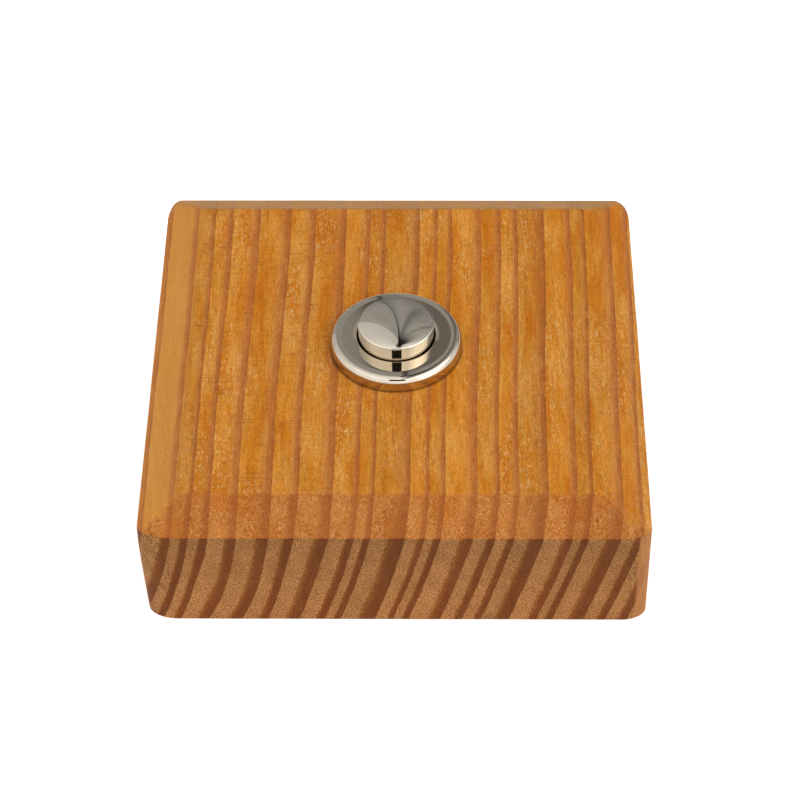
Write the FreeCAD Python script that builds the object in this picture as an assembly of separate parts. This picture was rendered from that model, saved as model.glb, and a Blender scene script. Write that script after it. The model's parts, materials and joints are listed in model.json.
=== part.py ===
import FreeCAD, Part
import math
import os

from FreeCAD import Vector

# A wired doorbell button for indoor or sheltered walls.
# Frame: the origin is the middle of the block's back face, +X to the right, +Y up the wall and
# +Z out of the wall, so the block lies on its back. All sizes are in millimetres.

# Wood block
block_width = 80.0
block_length = 80.0
block_height = 22.5
chamfer_run = 6.4
chamfer_drop = 3.6
corner_radius = 3.5
button_drop = 0.6            # the bore sits this far below the middle of the block
pocket_room = 2.5            # round the flat washer in the wiring pocket, bored from behind
web_thickness = 6.8          # wood left between the pocket and the front face

# Keyhole slots routed into the back
keyhole_spacing = 54.0
keyhole_mid = 3.0            # middle of the two screw seats, above the block's middle
keyhole_run = 7.0            # from the entry hole up to the screw seat
keyhole_entry_radius = 4.8
keyhole_neck_radius = 2.4
keyhole_lip = 4.5
keyhole_depth = 9.3

# Bezel and barrel, one turning
bezel_overhang = 1.2         # how far the bezel reaches out past its barrel
bezel_height = 2.7           # above the wood
bezel_shoulder = 1.3
bezel_crown_width = 0.8      # gentle crown between the flat face and the shoulder
bezel_crown_radius = 12.0
bezel_lip_ease = 0.12
barrel_wall = 1.0            # left outside the groove of the base's ring
barrel_stand_out = 2.0       # thread that shows past the nut
barrel_wood_clearance = 0.2
barrel_end_ease = 0.4
collar_stop_depth = 0.6      # below the wood's face
base_seat_step = 0.62        # from the guide bore out to the base's bore
circlip_land = 0.8           # of barrel left behind the ring

# Push
cap_radius = 6.18
cap_gap = 0.2                # ring gap between the push and the bezel
cap_side_height = 5.1        # top of the straight side above the wood
cap_edge_radius = 0.25
cap_dome_radius = 16.5
cap_travel = 1.5
collar_step = 1.12           # how far the collar stands out past the push
collar_clearance = 0.08
collar_stop_clearance = 0.05
collar_thickness = 2.4
cap_relief_depth = 2.0       # ring recess that lightens the push from below
cap_relief_wall = 1.55
cap_boss_radius = 3.4
stem_bore_rise = 2.6         # how far the stem's bore goes up past the collar

# Stem, disc and clip
stem_spigot_radius = 2.0
stem_flange_radius = 3.2
stem_flange_thickness = 0.9
stem_radius = 2.4
stem_tip_radius = 1.6
stem_guide_clearance = 0.08
stem_end_clearance = 0.5     # under the stem when it is pushed right in
stem_well_floor = 2.6        # moulding left between the stem's well and the terminals
stem_tip_ease = 0.3
bridge_overlap = 0.1         # how far the disc reaches past the tips
bridge_thickness = 0.4
bridge_rim = 0.35
contact_gap = 0.1            # left between the disc and the tips when it is pushed right in
clip_width = 1.4
clip_thickness = 0.6
clip_groove_radius = 1.2
clip_mouth = 1.8

# Return spring
spring_wire_radius = 0.3
spring_turns = 5.0
spring_bore_clearance = 0.25     # between the coil and the bore of the guide
spring_wire_sides = 6
spring_seat_clearance = 0.02

# Contact base
base_clearance = 0.04
base_plate_thickness = 2.4
base_platform_clearance = 0.4    # inside the coil
base_platform_rise = 0.3
base_boss_drop = 1.9         # below the end of the barrel
barrier_width = 0.9
barrier_height = 2.3
barrier_length = 8.0
stem_well_clearance = 0.08

# Ring that holds the base
circlip_thickness = 1.0
circlip_width = 1.6
circlip_reach = 0.5          # into the barrel's wall
circlip_inner_clearance = 0.3
circlip_opening = 3.2
circlip_clearance = 0.03

# Contacts and terminals
strip_thickness = 0.5
strip_width = 3.4
strip_inset = 0.43           # from the platform's edge in to the strip's outside
strip_clip_clearance = 0.3
strip_slot_clearance = 0.05
tip_inset = 0.3              # from the strip's inner end to the tip
tip_radius = 0.9
tip_height = 0.6
tip_ease = 0.2
screw_radius = 1.25
screw_length = 4.6
screw_head_radius = 2.2
screw_head_height = 1.5
screw_slot_width = 0.6
screw_slot_depth = 0.7
screw_head_ease = 0.4
clamp_width = 4.7
clamp_thickness = 0.8
clamp_hole_clearance = 0.12
clamp_lip = 0.4

# What clamps the barrel
seal_groove_depth = 0.8
seal_groove_height = 1.2
seal_clearance = 0.02
seal_height = 1.0
flat_washer_width = 3.85
flat_washer_thickness = 1.0
washer_bore_clearance = 0.15
lock_washer_width = 2.35
lock_washer_thickness = 0.8
lock_washer_teeth = 12
lock_washer_tooth_depth = 1.1
nut_wall = 1.5               # between the barrel and the middle of a flat
nut_thickness = 3.0
nut_chamfer = 0.9

# Radii worked out from the sizes above, from the push outwards
cap_hole_radius = cap_radius + cap_gap
collar_radius = cap_radius + collar_step
guide_radius = collar_radius + collar_clearance
base_bore_radius = guide_radius + base_seat_step
circlip_radius = base_bore_radius + circlip_reach
circlip_inner_radius = circlip_radius - circlip_width
base_boss_radius = circlip_inner_radius - circlip_inner_clearance
barrel_radius = circlip_radius + barrel_wall
bezel_radius = barrel_radius + bezel_overhang
bezel_flat_radius = bezel_radius - bezel_shoulder - bezel_crown_width
washer_bore_radius = barrel_radius + washer_bore_clearance
flat_washer_radius = washer_bore_radius + flat_washer_width
lock_washer_radius = washer_bore_radius + lock_washer_width
pocket_radius = flat_washer_radius + pocket_room
nut_flat_radius = barrel_radius + nut_wall
coil_radius = guide_radius - spring_bore_clearance - spring_wire_radius
platform_radius = coil_radius - spring_wire_radius - base_platform_clearance

# Places across the contacts
clip_radius = clip_groove_radius + clip_width
strip_inner_x = clip_radius + strip_clip_clearance
strip_outer_x = platform_radius - strip_inset
tip_x = strip_inner_x + tip_inset + tip_radius
bridge_radius = tip_x + tip_radius + bridge_overlap
terminal_x = strip_outer_x - clamp_width / 2

# Levels, from the wood's face down
button_y = -button_drop
face_z = block_height
bezel_top_z = face_z + bezel_height
pocket_z = face_z - web_thickness
washer_under_z = pocket_z - flat_washer_thickness
lock_under_z = washer_under_z - lock_washer_thickness
nut_under_z = lock_under_z - nut_thickness
barrel_end_z = nut_under_z - barrel_stand_out
circlip_under_z = barrel_end_z + circlip_land
circlip_top_z = circlip_under_z + circlip_thickness
base_seat_z = circlip_top_z + base_plate_thickness
collar_stop_z = face_z - collar_stop_depth
collar_top_z = collar_stop_z - collar_stop_clearance
collar_bottom_z = collar_top_z - collar_thickness
terminal_z = barrel_end_z - base_boss_drop
clamp_top_z = terminal_z - strip_thickness
clamp_under_z = clamp_top_z - clamp_thickness
platform_z = base_seat_z + base_platform_rise
strip_top_z = platform_z + strip_thickness
tip_top_z = strip_top_z + tip_height
bridge_under_z = tip_top_z + cap_travel + contact_gap
bridge_top_z = bridge_under_z + bridge_thickness
clip_under_z = bridge_under_z - clip_thickness
stem_well_z = terminal_z + stem_well_floor
stem_tip_z = stem_well_z + stem_end_clearance + cap_travel


def box(x0, x1, y0, y1, z0, z1):
    """A block between two corners."""
    return Part.makeBox(x1 - x0, y1 - y0, z1 - z0, Vector(x0, y0, z0))


def turned(start, *steps):
    """A solid turned about the button's axis. Each step is the next (radius, height) of the
    half section, or a pair of them: a point half way along an arc, and the arc's end."""
    def place(point):
        return Vector(point[0], button_y, point[1])

    edges = []
    here = start
    for step in steps + (start,):
        if isinstance(step[0], tuple):
            through, end = step
            edges.append(Part.Arc(place(here), place(through), place(end)).toShape())
        else:
            end = step
            edges.append(Part.LineSegment(place(here), place(end)).toShape())
        here = end
    section = Part.Face(Part.Wire(edges))
    return section.revolve(Vector(0, button_y, 0), Vector(0, 0, 1), 360)


def ring(inner, outer, z0, z1):
    """A flat ring about the button's axis."""
    return turned((inner, z0), (outer, z0), (outer, z1), (inner, z1))


def post(radius, z0, z1, x=0.0, y=0.0):
    """A round post along Z, placed from the button's axis."""
    return Part.makeCylinder(radius, z1 - z0, Vector(x, button_y + y, z0))


def edge_slope(half_across, half_along, turn):
    """What a plane takes off one edge: all above a line that falls from the face outwards. The
    slope is laid across +X and turned about Z to its own side of the block."""
    inner, outer = half_across - chamfer_run, half_across + chamfer_run
    section = [(inner, block_height), (outer, block_height - 2 * chamfer_drop),
               (outer, block_height + chamfer_drop), (inner, block_height + chamfer_drop)]
    points = [Vector(x, -half_along, z) for x, z in section + section[:1]]
    shaving = Part.Face(Part.makePolygon(points)).extrude(Vector(0, 2 * half_along, 0))
    shaving.rotate(Vector(0, 0, 0), Vector(0, 0, 1), turn)
    return shaving


def keyhole(seat_y):
    """What a keyhole cutter takes out: plunged at the entry hole and run up to the seat."""
    entry_y = seat_y - keyhole_run

    def track(radius, z0, z1):
        run = box(-radius, radius, entry_y, seat_y, z0, z1)
        ends = [Part.makeCylinder(radius, z1 - z0, Vector(0, y, z0)) for y in (entry_y, seat_y)]
        return run.fuse(ends)

    entry = Part.makeCylinder(keyhole_entry_radius, keyhole_depth, Vector(0, entry_y, 0))
    neck = track(keyhole_neck_radius, 0, keyhole_depth)
    undercut = track(keyhole_entry_radius, keyhole_lip, keyhole_depth)
    return entry.fuse([neck, undercut]).removeSplitter()


def wood_block():
    """Square block: sloping edge planed on four sides, upright corners rounded after it."""
    half_x, half_y = block_width / 2, block_length / 2
    blank = box(-half_x, half_x, -half_y, half_y, 0, block_height)
    upright = [e for e in blank.Edges if abs(e.tangentAt(e.FirstParameter).z) > 0.9]
    blank = blank.makeFillet(corner_radius, upright)
    slopes = [edge_slope(half_x, half_y, turn) for turn in (0, 180)]
    slopes += [edge_slope(half_y, half_x, turn) for turn in (90, 270)]
    bore = post(barrel_radius + barrel_wood_clearance, pocket_z, face_z)
    pocket = post(pocket_radius, 0, pocket_z)
    seats = [keyhole_mid + side * keyhole_spacing / 2 for side in (-1, 1)]
    return blank.cut(slopes + [bore, pocket] + [keyhole(y) for y in seats])


def bezel_body():
    """Round-shouldered bezel with its barrel, bored for the push, the base and the ring."""
    # the crown starts level at the flat face and meets the shoulder where their slopes agree
    reach = bezel_radius - bezel_shoulder - bezel_flat_radius
    sine = reach / (bezel_crown_radius - bezel_shoulder)
    slope = math.asin(sine)
    crown_z = bezel_top_z - bezel_crown_radius
    shoulder_r = bezel_radius - bezel_shoulder
    shoulder_z = crown_z + (bezel_crown_radius - bezel_shoulder) * math.cos(slope)

    def on_arc(r, z, radius, angle):
        return (r + radius * math.sin(angle), z + radius * math.cos(angle))

    crown_mid = on_arc(bezel_flat_radius, crown_z, bezel_crown_radius, slope / 2)
    crown_end = on_arc(bezel_flat_radius, crown_z, bezel_crown_radius, slope)
    shoulder_mid = on_arc(shoulder_r, shoulder_z, bezel_shoulder, (slope + math.pi / 2) / 2)
    groove_r = barrel_radius - seal_groove_depth
    ring_r = circlip_radius + circlip_clearance
    ring_z = circlip_under_z - circlip_clearance
    return turned(
        (cap_hole_radius, bezel_top_z - bezel_lip_ease),
        (cap_hole_radius + bezel_lip_ease, bezel_top_z),
        (bezel_flat_radius, bezel_top_z),
        (crown_mid, crown_end),
        (shoulder_mid, (bezel_radius, shoulder_z)),
        (bezel_radius, face_z),
        (groove_r, face_z),
        (groove_r, face_z - seal_groove_height),
        (barrel_radius, face_z - seal_groove_height),
        (barrel_radius, barrel_end_z + barrel_end_ease),
        (barrel_radius - barrel_end_ease, barrel_end_z),
        (base_bore_radius, barrel_end_z),
        (base_bore_radius, ring_z),
        (ring_r, ring_z),
        (ring_r, circlip_top_z),
        (base_bore_radius, circlip_top_z),
        (base_bore_radius, base_seat_z),
        (guide_radius, base_seat_z),
        (guide_radius, collar_stop_z),
        (cap_hole_radius, collar_stop_z))


def push_cap():
    """Domed push: the dome runs into a fine rounded edge, with a collar inside the barrel."""
    edge_r = cap_radius - cap_edge_radius
    edge_z = face_z + cap_side_height
    tilt = math.asin(edge_r / (cap_dome_radius - cap_edge_radius))
    centre_z = edge_z - (cap_dome_radius - cap_edge_radius) * math.cos(tilt)

    def dome(angle):
        return (cap_dome_radius * math.sin(angle), centre_z + cap_dome_radius * math.cos(angle))

    half = (tilt + math.pi / 2) / 2
    edge_mid = (edge_r + cap_edge_radius * math.sin(half), edge_z + cap_edge_radius * math.cos(half))
    relief_r = collar_radius - cap_relief_wall
    relief_z = collar_bottom_z + cap_relief_depth
    bore_z = collar_top_z + stem_bore_rise
    return turned(
        dome(0),
        (dome(tilt / 2), dome(tilt)),
        (edge_mid, (cap_radius, edge_z)),
        (cap_radius, collar_top_z),
        (collar_radius, collar_top_z),
        (collar_radius, collar_bottom_z),
        (relief_r, collar_bottom_z),
        (relief_r, relief_z),
        (cap_boss_radius, relief_z),
        (cap_boss_radius, collar_bottom_z),
        (stem_spigot_radius, collar_bottom_z),
        (stem_spigot_radius, bore_z),
        (0, bore_z))


def plunger_stem():
    """Insulating stem: spigot in the push, shoulder over the disc, groove, guided tip."""
    flange_z = collar_bottom_z - stem_flange_thickness
    return turned(
        (0, collar_top_z + stem_bore_rise),
        (stem_spigot_radius, collar_top_z + stem_bore_rise),
        (stem_spigot_radius, collar_bottom_z),
        (stem_flange_radius, collar_bottom_z),
        (stem_flange_radius, flange_z),
        (stem_radius, flange_z),
        (stem_radius, bridge_top_z),
        (stem_tip_radius, bridge_top_z),
        (stem_tip_radius, bridge_under_z),
        (clip_groove_radius, bridge_under_z),
        (clip_groove_radius, clip_under_z),
        (stem_tip_radius, clip_under_z),
        (stem_tip_radius, stem_tip_z + stem_tip_ease),
        (stem_tip_radius - stem_tip_ease, stem_tip_z),
        (0, stem_tip_z))


def contact_bridge():
    """Disc with a turned-up rim."""
    rim_r = bridge_radius - bridge_thickness
    return turned(
        (stem_tip_radius, bridge_under_z),
        (bridge_radius, bridge_under_z),
        (bridge_radius, bridge_top_z + bridge_rim),
        (rim_r, bridge_top_z + bridge_rim),
        (rim_r, bridge_top_z),
        (stem_tip_radius, bridge_top_z))


def open_ring(inner, outer, z0, z1, mouth):
    """A flat ring with a straight mouth cut through one side, towards -Y."""
    slot = box(-mouth / 2, mouth / 2, button_y - 2 * outer, button_y, z0, z1)
    return ring(inner, outer, z0, z1).cut(slot)


def bridge_clip():
    return open_ring(clip_groove_radius, clip_radius, clip_under_z, bridge_under_z, clip_mouth)


def base_circlip():
    return open_ring(circlip_inner_radius, circlip_radius, circlip_under_z, circlip_top_z,
                     circlip_opening)


def biarc(p0, t0, p1, t1):
    """Two arcs that leave p0 along t0 and reach p1 along t1, as edges. t0 and t1 are unit."""
    across = p1 - p0
    both = t0 + t1
    a = 2 * (1 - t0.dot(t1))
    b = 2 * across.dot(both)
    reach = (-b + math.sqrt(b * b + 4 * a * across.dot(across))) / (2 * a)
    first, last = p0 + t0 * reach, p1 - t1 * reach
    join = (first + last) * 0.5
    edges = []
    for start, corner, end in ((p0, first, join), (join, last, p1)):
        chord_mid = (start + end) * 0.5
        half = (end - start).Length / 2
        rise = corner - chord_mid
        sagitta = half * (reach - half) / rise.Length
        through = chord_mid + rise * (sagitta / rise.Length)
        edges.append(Part.Arc(start, through, end).toShape())
    return edges


def return_spring():
    """Open coil between the base's seat and the push's collar: one unbroken wire of a few flat
    sides, led along arcs of an eighth of a turn."""
    low = base_seat_z + spring_wire_radius + spring_seat_clearance
    high = collar_bottom_z - spring_wire_radius - spring_seat_clearance
    pitch = (high - low) / spring_turns
    steps = round(4 * spring_turns)

    def point(turn):
        angle = 2 * math.pi * turn
        return Vector(coil_radius * math.cos(angle), button_y + coil_radius * math.sin(angle),
                      low + pitch * turn)

    def tangent(turn):
        angle = 2 * math.pi * turn
        along = Vector(-math.sin(angle), math.cos(angle), pitch / (2 * math.pi * coil_radius))
        return along.normalize()

    edges = []
    for step in range(steps):
        here, there = spring_turns * step / steps, spring_turns * (step + 1) / steps
        edges += biarc(point(here), tangent(here), point(there), tangent(there))
    outwards, along = Vector(1, 0, 0), tangent(0)
    sideways = along.cross(outwards)
    corners = []
    for side in range(spring_wire_sides + 1):
        angle = 2 * math.pi * side / spring_wire_sides
        corners.append(point(0) + outwards * (spring_wire_radius * math.cos(angle))
                       + sideways * (spring_wire_radius * math.sin(angle)))
    section = Part.makePolygon(corners)
    coil = Part.Wire(edges).makePipeShell([section], True, False)
    print("spring: least gap between its turns %.2f mm" % (pitch - 2 * spring_wire_radius))
    return coil


def contact_base():
    """Moulded base: plate against the barrel's seat, platform for the contacts, boss behind it
    with a fin between the terminals, a well for the stem, slots for the strips."""
    plate_r = base_bore_radius - base_clearance
    body = turned(
        (0, platform_z),
        (platform_radius, platform_z),
        (platform_radius, base_seat_z),
        (plate_r, base_seat_z),
        (plate_r, circlip_top_z),
        (base_boss_radius, circlip_top_z),
        (base_boss_radius, terminal_z),
        (0, terminal_z))
    fin = box(-barrier_width / 2, barrier_width / 2, button_y - barrier_length / 2,
              button_y + barrier_length / 2, terminal_z - barrier_height, terminal_z)
    well_r = stem_tip_radius + stem_well_clearance
    cuts = [post(well_r, stem_well_z, platform_z)]
    slot_y = strip_width / 2 + strip_slot_clearance
    hole_depth = screw_length - strip_thickness - clamp_thickness + stem_end_clearance
    for side in (-1, 1):
        near = side * (strip_outer_x - strip_thickness - strip_slot_clearance)
        far = side * (strip_outer_x + strip_slot_clearance)
        cuts.append(box(min(near, far), max(near, far), button_y - slot_y, button_y + slot_y,
                        terminal_z, strip_top_z))
        cuts.append(post(screw_radius + strip_slot_clearance, terminal_z,
                         terminal_z + hole_depth, x=side * terminal_x))
    return body.fuse(fin).cut(cuts)


def fixed_contact(side):
    """Strip bent round the edge of the base: a leg on the platform, one down the slot and the
    terminal pad under the boss, tapped for its screw."""
    def strip(x0, x1, z0, z1):
        low, high = sorted((side * x0, side * x1))
        return box(low, high, button_y - strip_width / 2, button_y + strip_width / 2, z0, z1)

    upper = strip(strip_inner_x, strip_outer_x, platform_z, strip_top_z)
    leg = strip(strip_outer_x - strip_thickness, strip_outer_x,
                terminal_z - strip_thickness, strip_top_z)
    pad_inner = terminal_x - clamp_width / 2
    pad = strip(pad_inner, strip_outer_x, terminal_z - strip_thickness, terminal_z)
    hole = post(screw_radius, terminal_z - strip_thickness, terminal_z, x=side * terminal_x)
    return upper.fuse([leg, pad]).removeSplitter().cut(hole)


def contact_tip(side):
    """Rivet head with an eased rim."""
    head = post(tip_radius, strip_top_z, tip_top_z, x=side * tip_x)
    rim = [e for e in head.Edges if e.BoundBox.ZMin > tip_top_z - tip_ease]
    return head.makeChamfer(tip_ease, rim)


def wire_clamp(side):
    """Square clamp plate under the screw's head, its outer edge turned towards the strip."""
    x0, x1 = terminal_x - clamp_width / 2, terminal_x + clamp_width / 2
    low, high = sorted((side * x0, side * x1))
    plate = box(low, high, button_y - clamp_width / 2, button_y + clamp_width / 2,
                clamp_under_z, clamp_top_z)
    groove = box(low, high, button_y - clamp_width / 2 + clamp_lip,
                 button_y + clamp_width / 2 - clamp_lip, clamp_top_z - clamp_lip / 2, clamp_top_z)
    hole = post(screw_radius + clamp_hole_clearance, clamp_under_z, clamp_top_z,
                x=side * terminal_x)
    return plate.cut([groove, hole])


def terminal_screw(side):
    """Pan-headed slotted screw, head towards the wall."""
    x = side * terminal_x
    shank = post(screw_radius, clamp_under_z, clamp_under_z + screw_length, x=x)
    head = post(screw_head_radius, clamp_under_z - screw_head_height, clamp_under_z, x=x)
    lower = [e for e in head.Edges if e.BoundBox.ZMax < clamp_under_z - screw_head_height / 2]
    head = head.makeChamfer(screw_head_ease, lower)
    head_z = clamp_under_z - screw_head_height
    slot = box(x - screw_slot_width / 2, x + screw_slot_width / 2,
               button_y - screw_head_radius, button_y + screw_head_radius,
               head_z, head_z + screw_slot_depth)
    return head.fuse(shank).cut(slot)


def bezel_seal():
    """Square-cut rubber ring in the groove under the flange, against the wood."""
    return ring(barrel_radius - seal_groove_depth,
                barrel_radius + barrel_wood_clearance - seal_clearance,
                face_z - seal_height, face_z)


def flat_washer():
    return ring(washer_bore_radius, flat_washer_radius, washer_under_z, pocket_z)


def lock_washer():
    """Washer with teeth cut inwards all round its bore."""
    body = ring(washer_bore_radius, lock_washer_radius, lock_under_z, washer_under_z)
    gap_r = math.pi * washer_bore_radius / lock_washer_teeth / 2
    gap_middle = washer_bore_radius + lock_washer_tooth_depth - gap_r
    gaps = []
    for tooth in range(lock_washer_teeth):
        angle = 2 * math.pi * tooth / lock_washer_teeth
        gaps.append(post(gap_r, lock_under_z, washer_under_z,
                         x=gap_middle * math.cos(angle), y=gap_middle * math.sin(angle)))
    return body.cut(gaps)


def barrel_nut():
    """Six-sided nut with both ends chamfered round."""
    corner = nut_flat_radius / math.cos(math.pi / 6)
    points = [Vector(corner * math.cos(math.pi * k / 3),
                     button_y + corner * math.sin(math.pi * k / 3), nut_under_z)
              for k in range(7)]
    prism = Part.Face(Part.makePolygon(points)).extrude(Vector(0, 0, nut_thickness))
    outer = nut_flat_radius + 2 * nut_chamfer
    envelope = turned(
        (barrel_radius, nut_under_z), (nut_flat_radius, nut_under_z),
        (outer, nut_under_z + nut_chamfer), (outer, lock_under_z - nut_chamfer),
        (nut_flat_radius, lock_under_z), (barrel_radius, lock_under_z))
    return prism.common(envelope)


def write_parts():
    """Builds each piece and writes it under its own name."""
    pieces = {
        "wood_block": wood_block(),
        "bezel_body": bezel_body(),
        "bezel_seal": bezel_seal(),
        "flat_washer": flat_washer(),
        "lock_washer": lock_washer(),
        "barrel_nut": barrel_nut(),
        "contact_base": contact_base(),
        "base_circlip": base_circlip(),
        "push_cap": push_cap(),
        "plunger_stem": plunger_stem(),
        "contact_bridge": contact_bridge(),
        "bridge_clip": bridge_clip(),
        "return_spring": return_spring(),
    }
    for side, name in ((-1, "left"), (1, "right")):
        pieces["fixed_contact_" + name] = fixed_contact(side)
        pieces["contact_tip_" + name] = contact_tip(side)
        pieces["wire_clamp_" + name] = wire_clamp(side)
        pieces["terminal_screw_" + name] = terminal_screw(side)
    os.makedirs("parts", exist_ok=True)
    for name, shape in pieces.items():
        if not shape.isValid() or len(shape.Solids) != 1:
            raise ValueError("%s is not one valid solid" % name)
        shape.Solids[0].exportStep("parts/%s.step" % name)
        print("%-22s %8.1f mm3" % (name, shape.Volume))


write_parts()
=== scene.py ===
import json
from functools import reduce
from math import acos, asin, ceil, cos, pi, radians, sin, sqrt, tan

import bmesh
import bpy
import numpy as np
from bpy.props import FloatProperty, FloatVectorProperty, IntProperty, PointerProperty
from mathutils import Matrix, Vector

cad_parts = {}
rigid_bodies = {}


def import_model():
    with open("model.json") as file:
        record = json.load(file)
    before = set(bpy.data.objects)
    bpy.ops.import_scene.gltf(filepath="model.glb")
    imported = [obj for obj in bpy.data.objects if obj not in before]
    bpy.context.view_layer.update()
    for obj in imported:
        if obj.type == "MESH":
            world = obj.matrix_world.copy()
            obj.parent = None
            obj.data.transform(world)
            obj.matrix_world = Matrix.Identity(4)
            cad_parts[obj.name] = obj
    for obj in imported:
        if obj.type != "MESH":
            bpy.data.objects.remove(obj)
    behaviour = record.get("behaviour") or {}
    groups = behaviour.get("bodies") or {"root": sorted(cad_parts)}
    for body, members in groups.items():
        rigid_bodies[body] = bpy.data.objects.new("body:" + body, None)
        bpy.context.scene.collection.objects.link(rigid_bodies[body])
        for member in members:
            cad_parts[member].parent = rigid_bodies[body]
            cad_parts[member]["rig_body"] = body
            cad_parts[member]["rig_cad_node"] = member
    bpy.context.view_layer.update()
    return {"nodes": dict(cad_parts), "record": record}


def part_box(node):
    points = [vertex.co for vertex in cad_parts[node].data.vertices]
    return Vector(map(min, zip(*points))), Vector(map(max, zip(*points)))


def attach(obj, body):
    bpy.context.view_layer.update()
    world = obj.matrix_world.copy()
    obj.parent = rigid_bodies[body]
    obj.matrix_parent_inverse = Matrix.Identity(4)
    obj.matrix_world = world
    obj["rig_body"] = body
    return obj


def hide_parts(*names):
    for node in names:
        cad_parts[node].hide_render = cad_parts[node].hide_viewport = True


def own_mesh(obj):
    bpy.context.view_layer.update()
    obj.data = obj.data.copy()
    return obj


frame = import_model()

bl_info = {
    "name": "Doorbell Button",
    "version": (1, 0, 0),
    "blender": (4, 5, 0),
    "location": "3D View > Sidebar > Doorbell",
    "description": "Dresses a wooden bell push: oiled pine block, polished bezel and push, switch",
    "category": "Object",
}

# Meshes are in metres and settings in millimetres. The origin is the middle of the block's back.
MM = 0.001
FULL_TURN = 2 * pi
# Points closer than this are taken to be at one place
TOUCH = 0.001 * MM


def node_box(node):
    """Lowest and highest corner of a node of the frame, as arrays."""
    low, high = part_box(node)
    return np.array(low), np.array(high)


def node_radius(node):
    """Half the width of a round node."""
    low, high = node_box(node)
    return (high[0] - low[0]) / 2


def node_points(node):
    """All the vertices of a node of the frame."""
    mesh = frame["nodes"][node].data
    points = np.empty(len(mesh.vertices) * 3, np.float32)
    mesh.vertices.foreach_get("co", points)
    return points.reshape(-1, 3).astype(float)


# Where the button's axis stands on the block
AXIS = np.mean(node_box("bezel_body"), axis=0)[:2]


def colour_setting(name, description, default):
    return FloatVectorProperty(name=name, description=description, default=default, size=3,
                               min=0.0, max=1.0, subtype="COLOR")


def length_setting(name, description, default):
    """A length in millimetres."""
    return FloatProperty(name=name, description=description + ", in millimetres",
                         default=default, min=0.0, precision=3)


class BlockSettings(bpy.types.PropertyGroup):
    """The pine block's edges and colours."""
    back_ease: length_setting("Back edge", "Radius sanded on the back edge", 0.2)
    side_ease: length_setting("Side edge", "Radius between a side and its slope", 0.5)
    ridge_ease: length_setting("Ridge", "Radius between a slope and the face", 2.6)
    mitre_ease: length_setting("Mitre", "Radius where two slopes meet", 1.3)
    worn_mitre_ease: length_setting("Worn mitre", "The same at the corner that is rubbed most", 2.6)
    hand_wobble: length_setting("Hand wobble", "How far hand sanding wanders", 0.05)
    knocked_in: length_setting("Knocked corner", "Taper of the worn lower corner", 0.75)
    hole_ease: length_setting("Hole edge", "Radius on the rims of the bored holes", 0.35)
    early_wood: colour_setting("Early wood", "Pale part of a growth ring", (0.565, 0.205, 0.017))
    deep_oil: colour_setting("Deep oil", "Where the oil has sunk in", (0.50, 0.145, 0.005))
    pale_fibre: colour_setting("Pale fibre", "Raised dry fibre", (0.70, 0.38, 0.125))
    late_wood: colour_setting("Late wood", "Dark part of a growth ring", (0.45, 0.160, 0.052))
    end_early: colour_setting("End, early wood", "Sawn end, pale part", (0.315, 0.127, 0.032))
    end_late: colour_setting("End, late wood", "Sawn end, dark part", (0.130, 0.029, 0.003))
    slope_tint: colour_setting("Slope", "Where the plane cuts across the fibre", (0.36, 0.097, 0.010))


class MetalSettings(bpy.types.PropertyGroup):
    """Profiles and finishes of the metal pieces."""
    nickel: colour_setting("Nickel", "Reflectance of polished nickel", (0.68, 0.61, 0.508))
    zinc: colour_setting("Zinc", "Reflectance of bright zinc plate", (0.55, 0.57, 0.58))
    brass: colour_setting("Brass", "Reflectance of contact brass", (0.72, 0.50, 0.20))
    silver: colour_setting("Silver", "Reflectance of the contact tips", (0.80, 0.79, 0.76))
    steel: colour_setting("Spring steel", "Reflectance of drawn wire", (0.36, 0.36, 0.37))
    bezel_shoulder: length_setting("Shoulder", "Radius of the bezel's outer edge", 1.25)
    bezel_flat: length_setting("Flat", "Radius at which the bezel's flat face ends", 8.85)
    bezel_fall: FloatProperty(name="Fall", description="Slope of the band outside the flat face",
                              unit="ROTATION", default=radians(4.0))
    lip_ease: length_setting("Lip", "Ease on the inner edge of the bezel's face", 0.26)
    barrel_radius: length_setting("Barrel", "Outside of the thread", 9.5)
    thread_pitch: length_setting("Pitch", "Pitch of the barrel's thread", 1.0)
    thread_depth: length_setting("Thread depth", "From crest to root", 0.5)
    dome_radius: length_setting("Dome", "Radius of the push's dome", 16.5)
    push_edge: length_setting("Push edge", "Radius round the dome", 0.42)
    push_arris: length_setting("Push arris", "Finer radius between that and the side", 0.03)
    push_radius: length_setting("Push", "Radius of the push", 6.18)
    segments: IntProperty(name="Segments", description="Faces round a turned piece",
                          default=256, min=48)


class StudioSettings(bpy.types.PropertyGroup):
    """Camera, floor and the white tent that lights the piece."""
    lens: length_setting("Lens", "Focal length on a sensor 36 mm wide", 126.0)
    distance: length_setting("Distance", "From the camera to the aim point", 480.44)
    aim: FloatVectorProperty(name="Aim", description="Point on the floor it looks at, in mm",
                             default=(0.405, 9.528), size=2)
    yaw: FloatProperty(name="Yaw", description="Turn to the left", unit="ROTATION",
                       default=radians(0.832))
    pitch: FloatProperty(name="Pitch", description="Tilt down", unit="ROTATION",
                         default=radians(44.859))
    roll: FloatProperty(name="Roll", description="Turn about the line of sight",
                        unit="ROTATION", default=radians(0.498))
    light: FloatProperty(name="Tent light", description="Strength of the tent's light",
                         default=1.45, min=0.0)
    floor: colour_setting("Floor", "Colour of the floor", (0.86, 0.86, 0.86))


def settings(group):
    """The block, metal or studio settings of the scene."""
    return getattr(bpy.context.scene, "doorbell_" + group)


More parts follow.
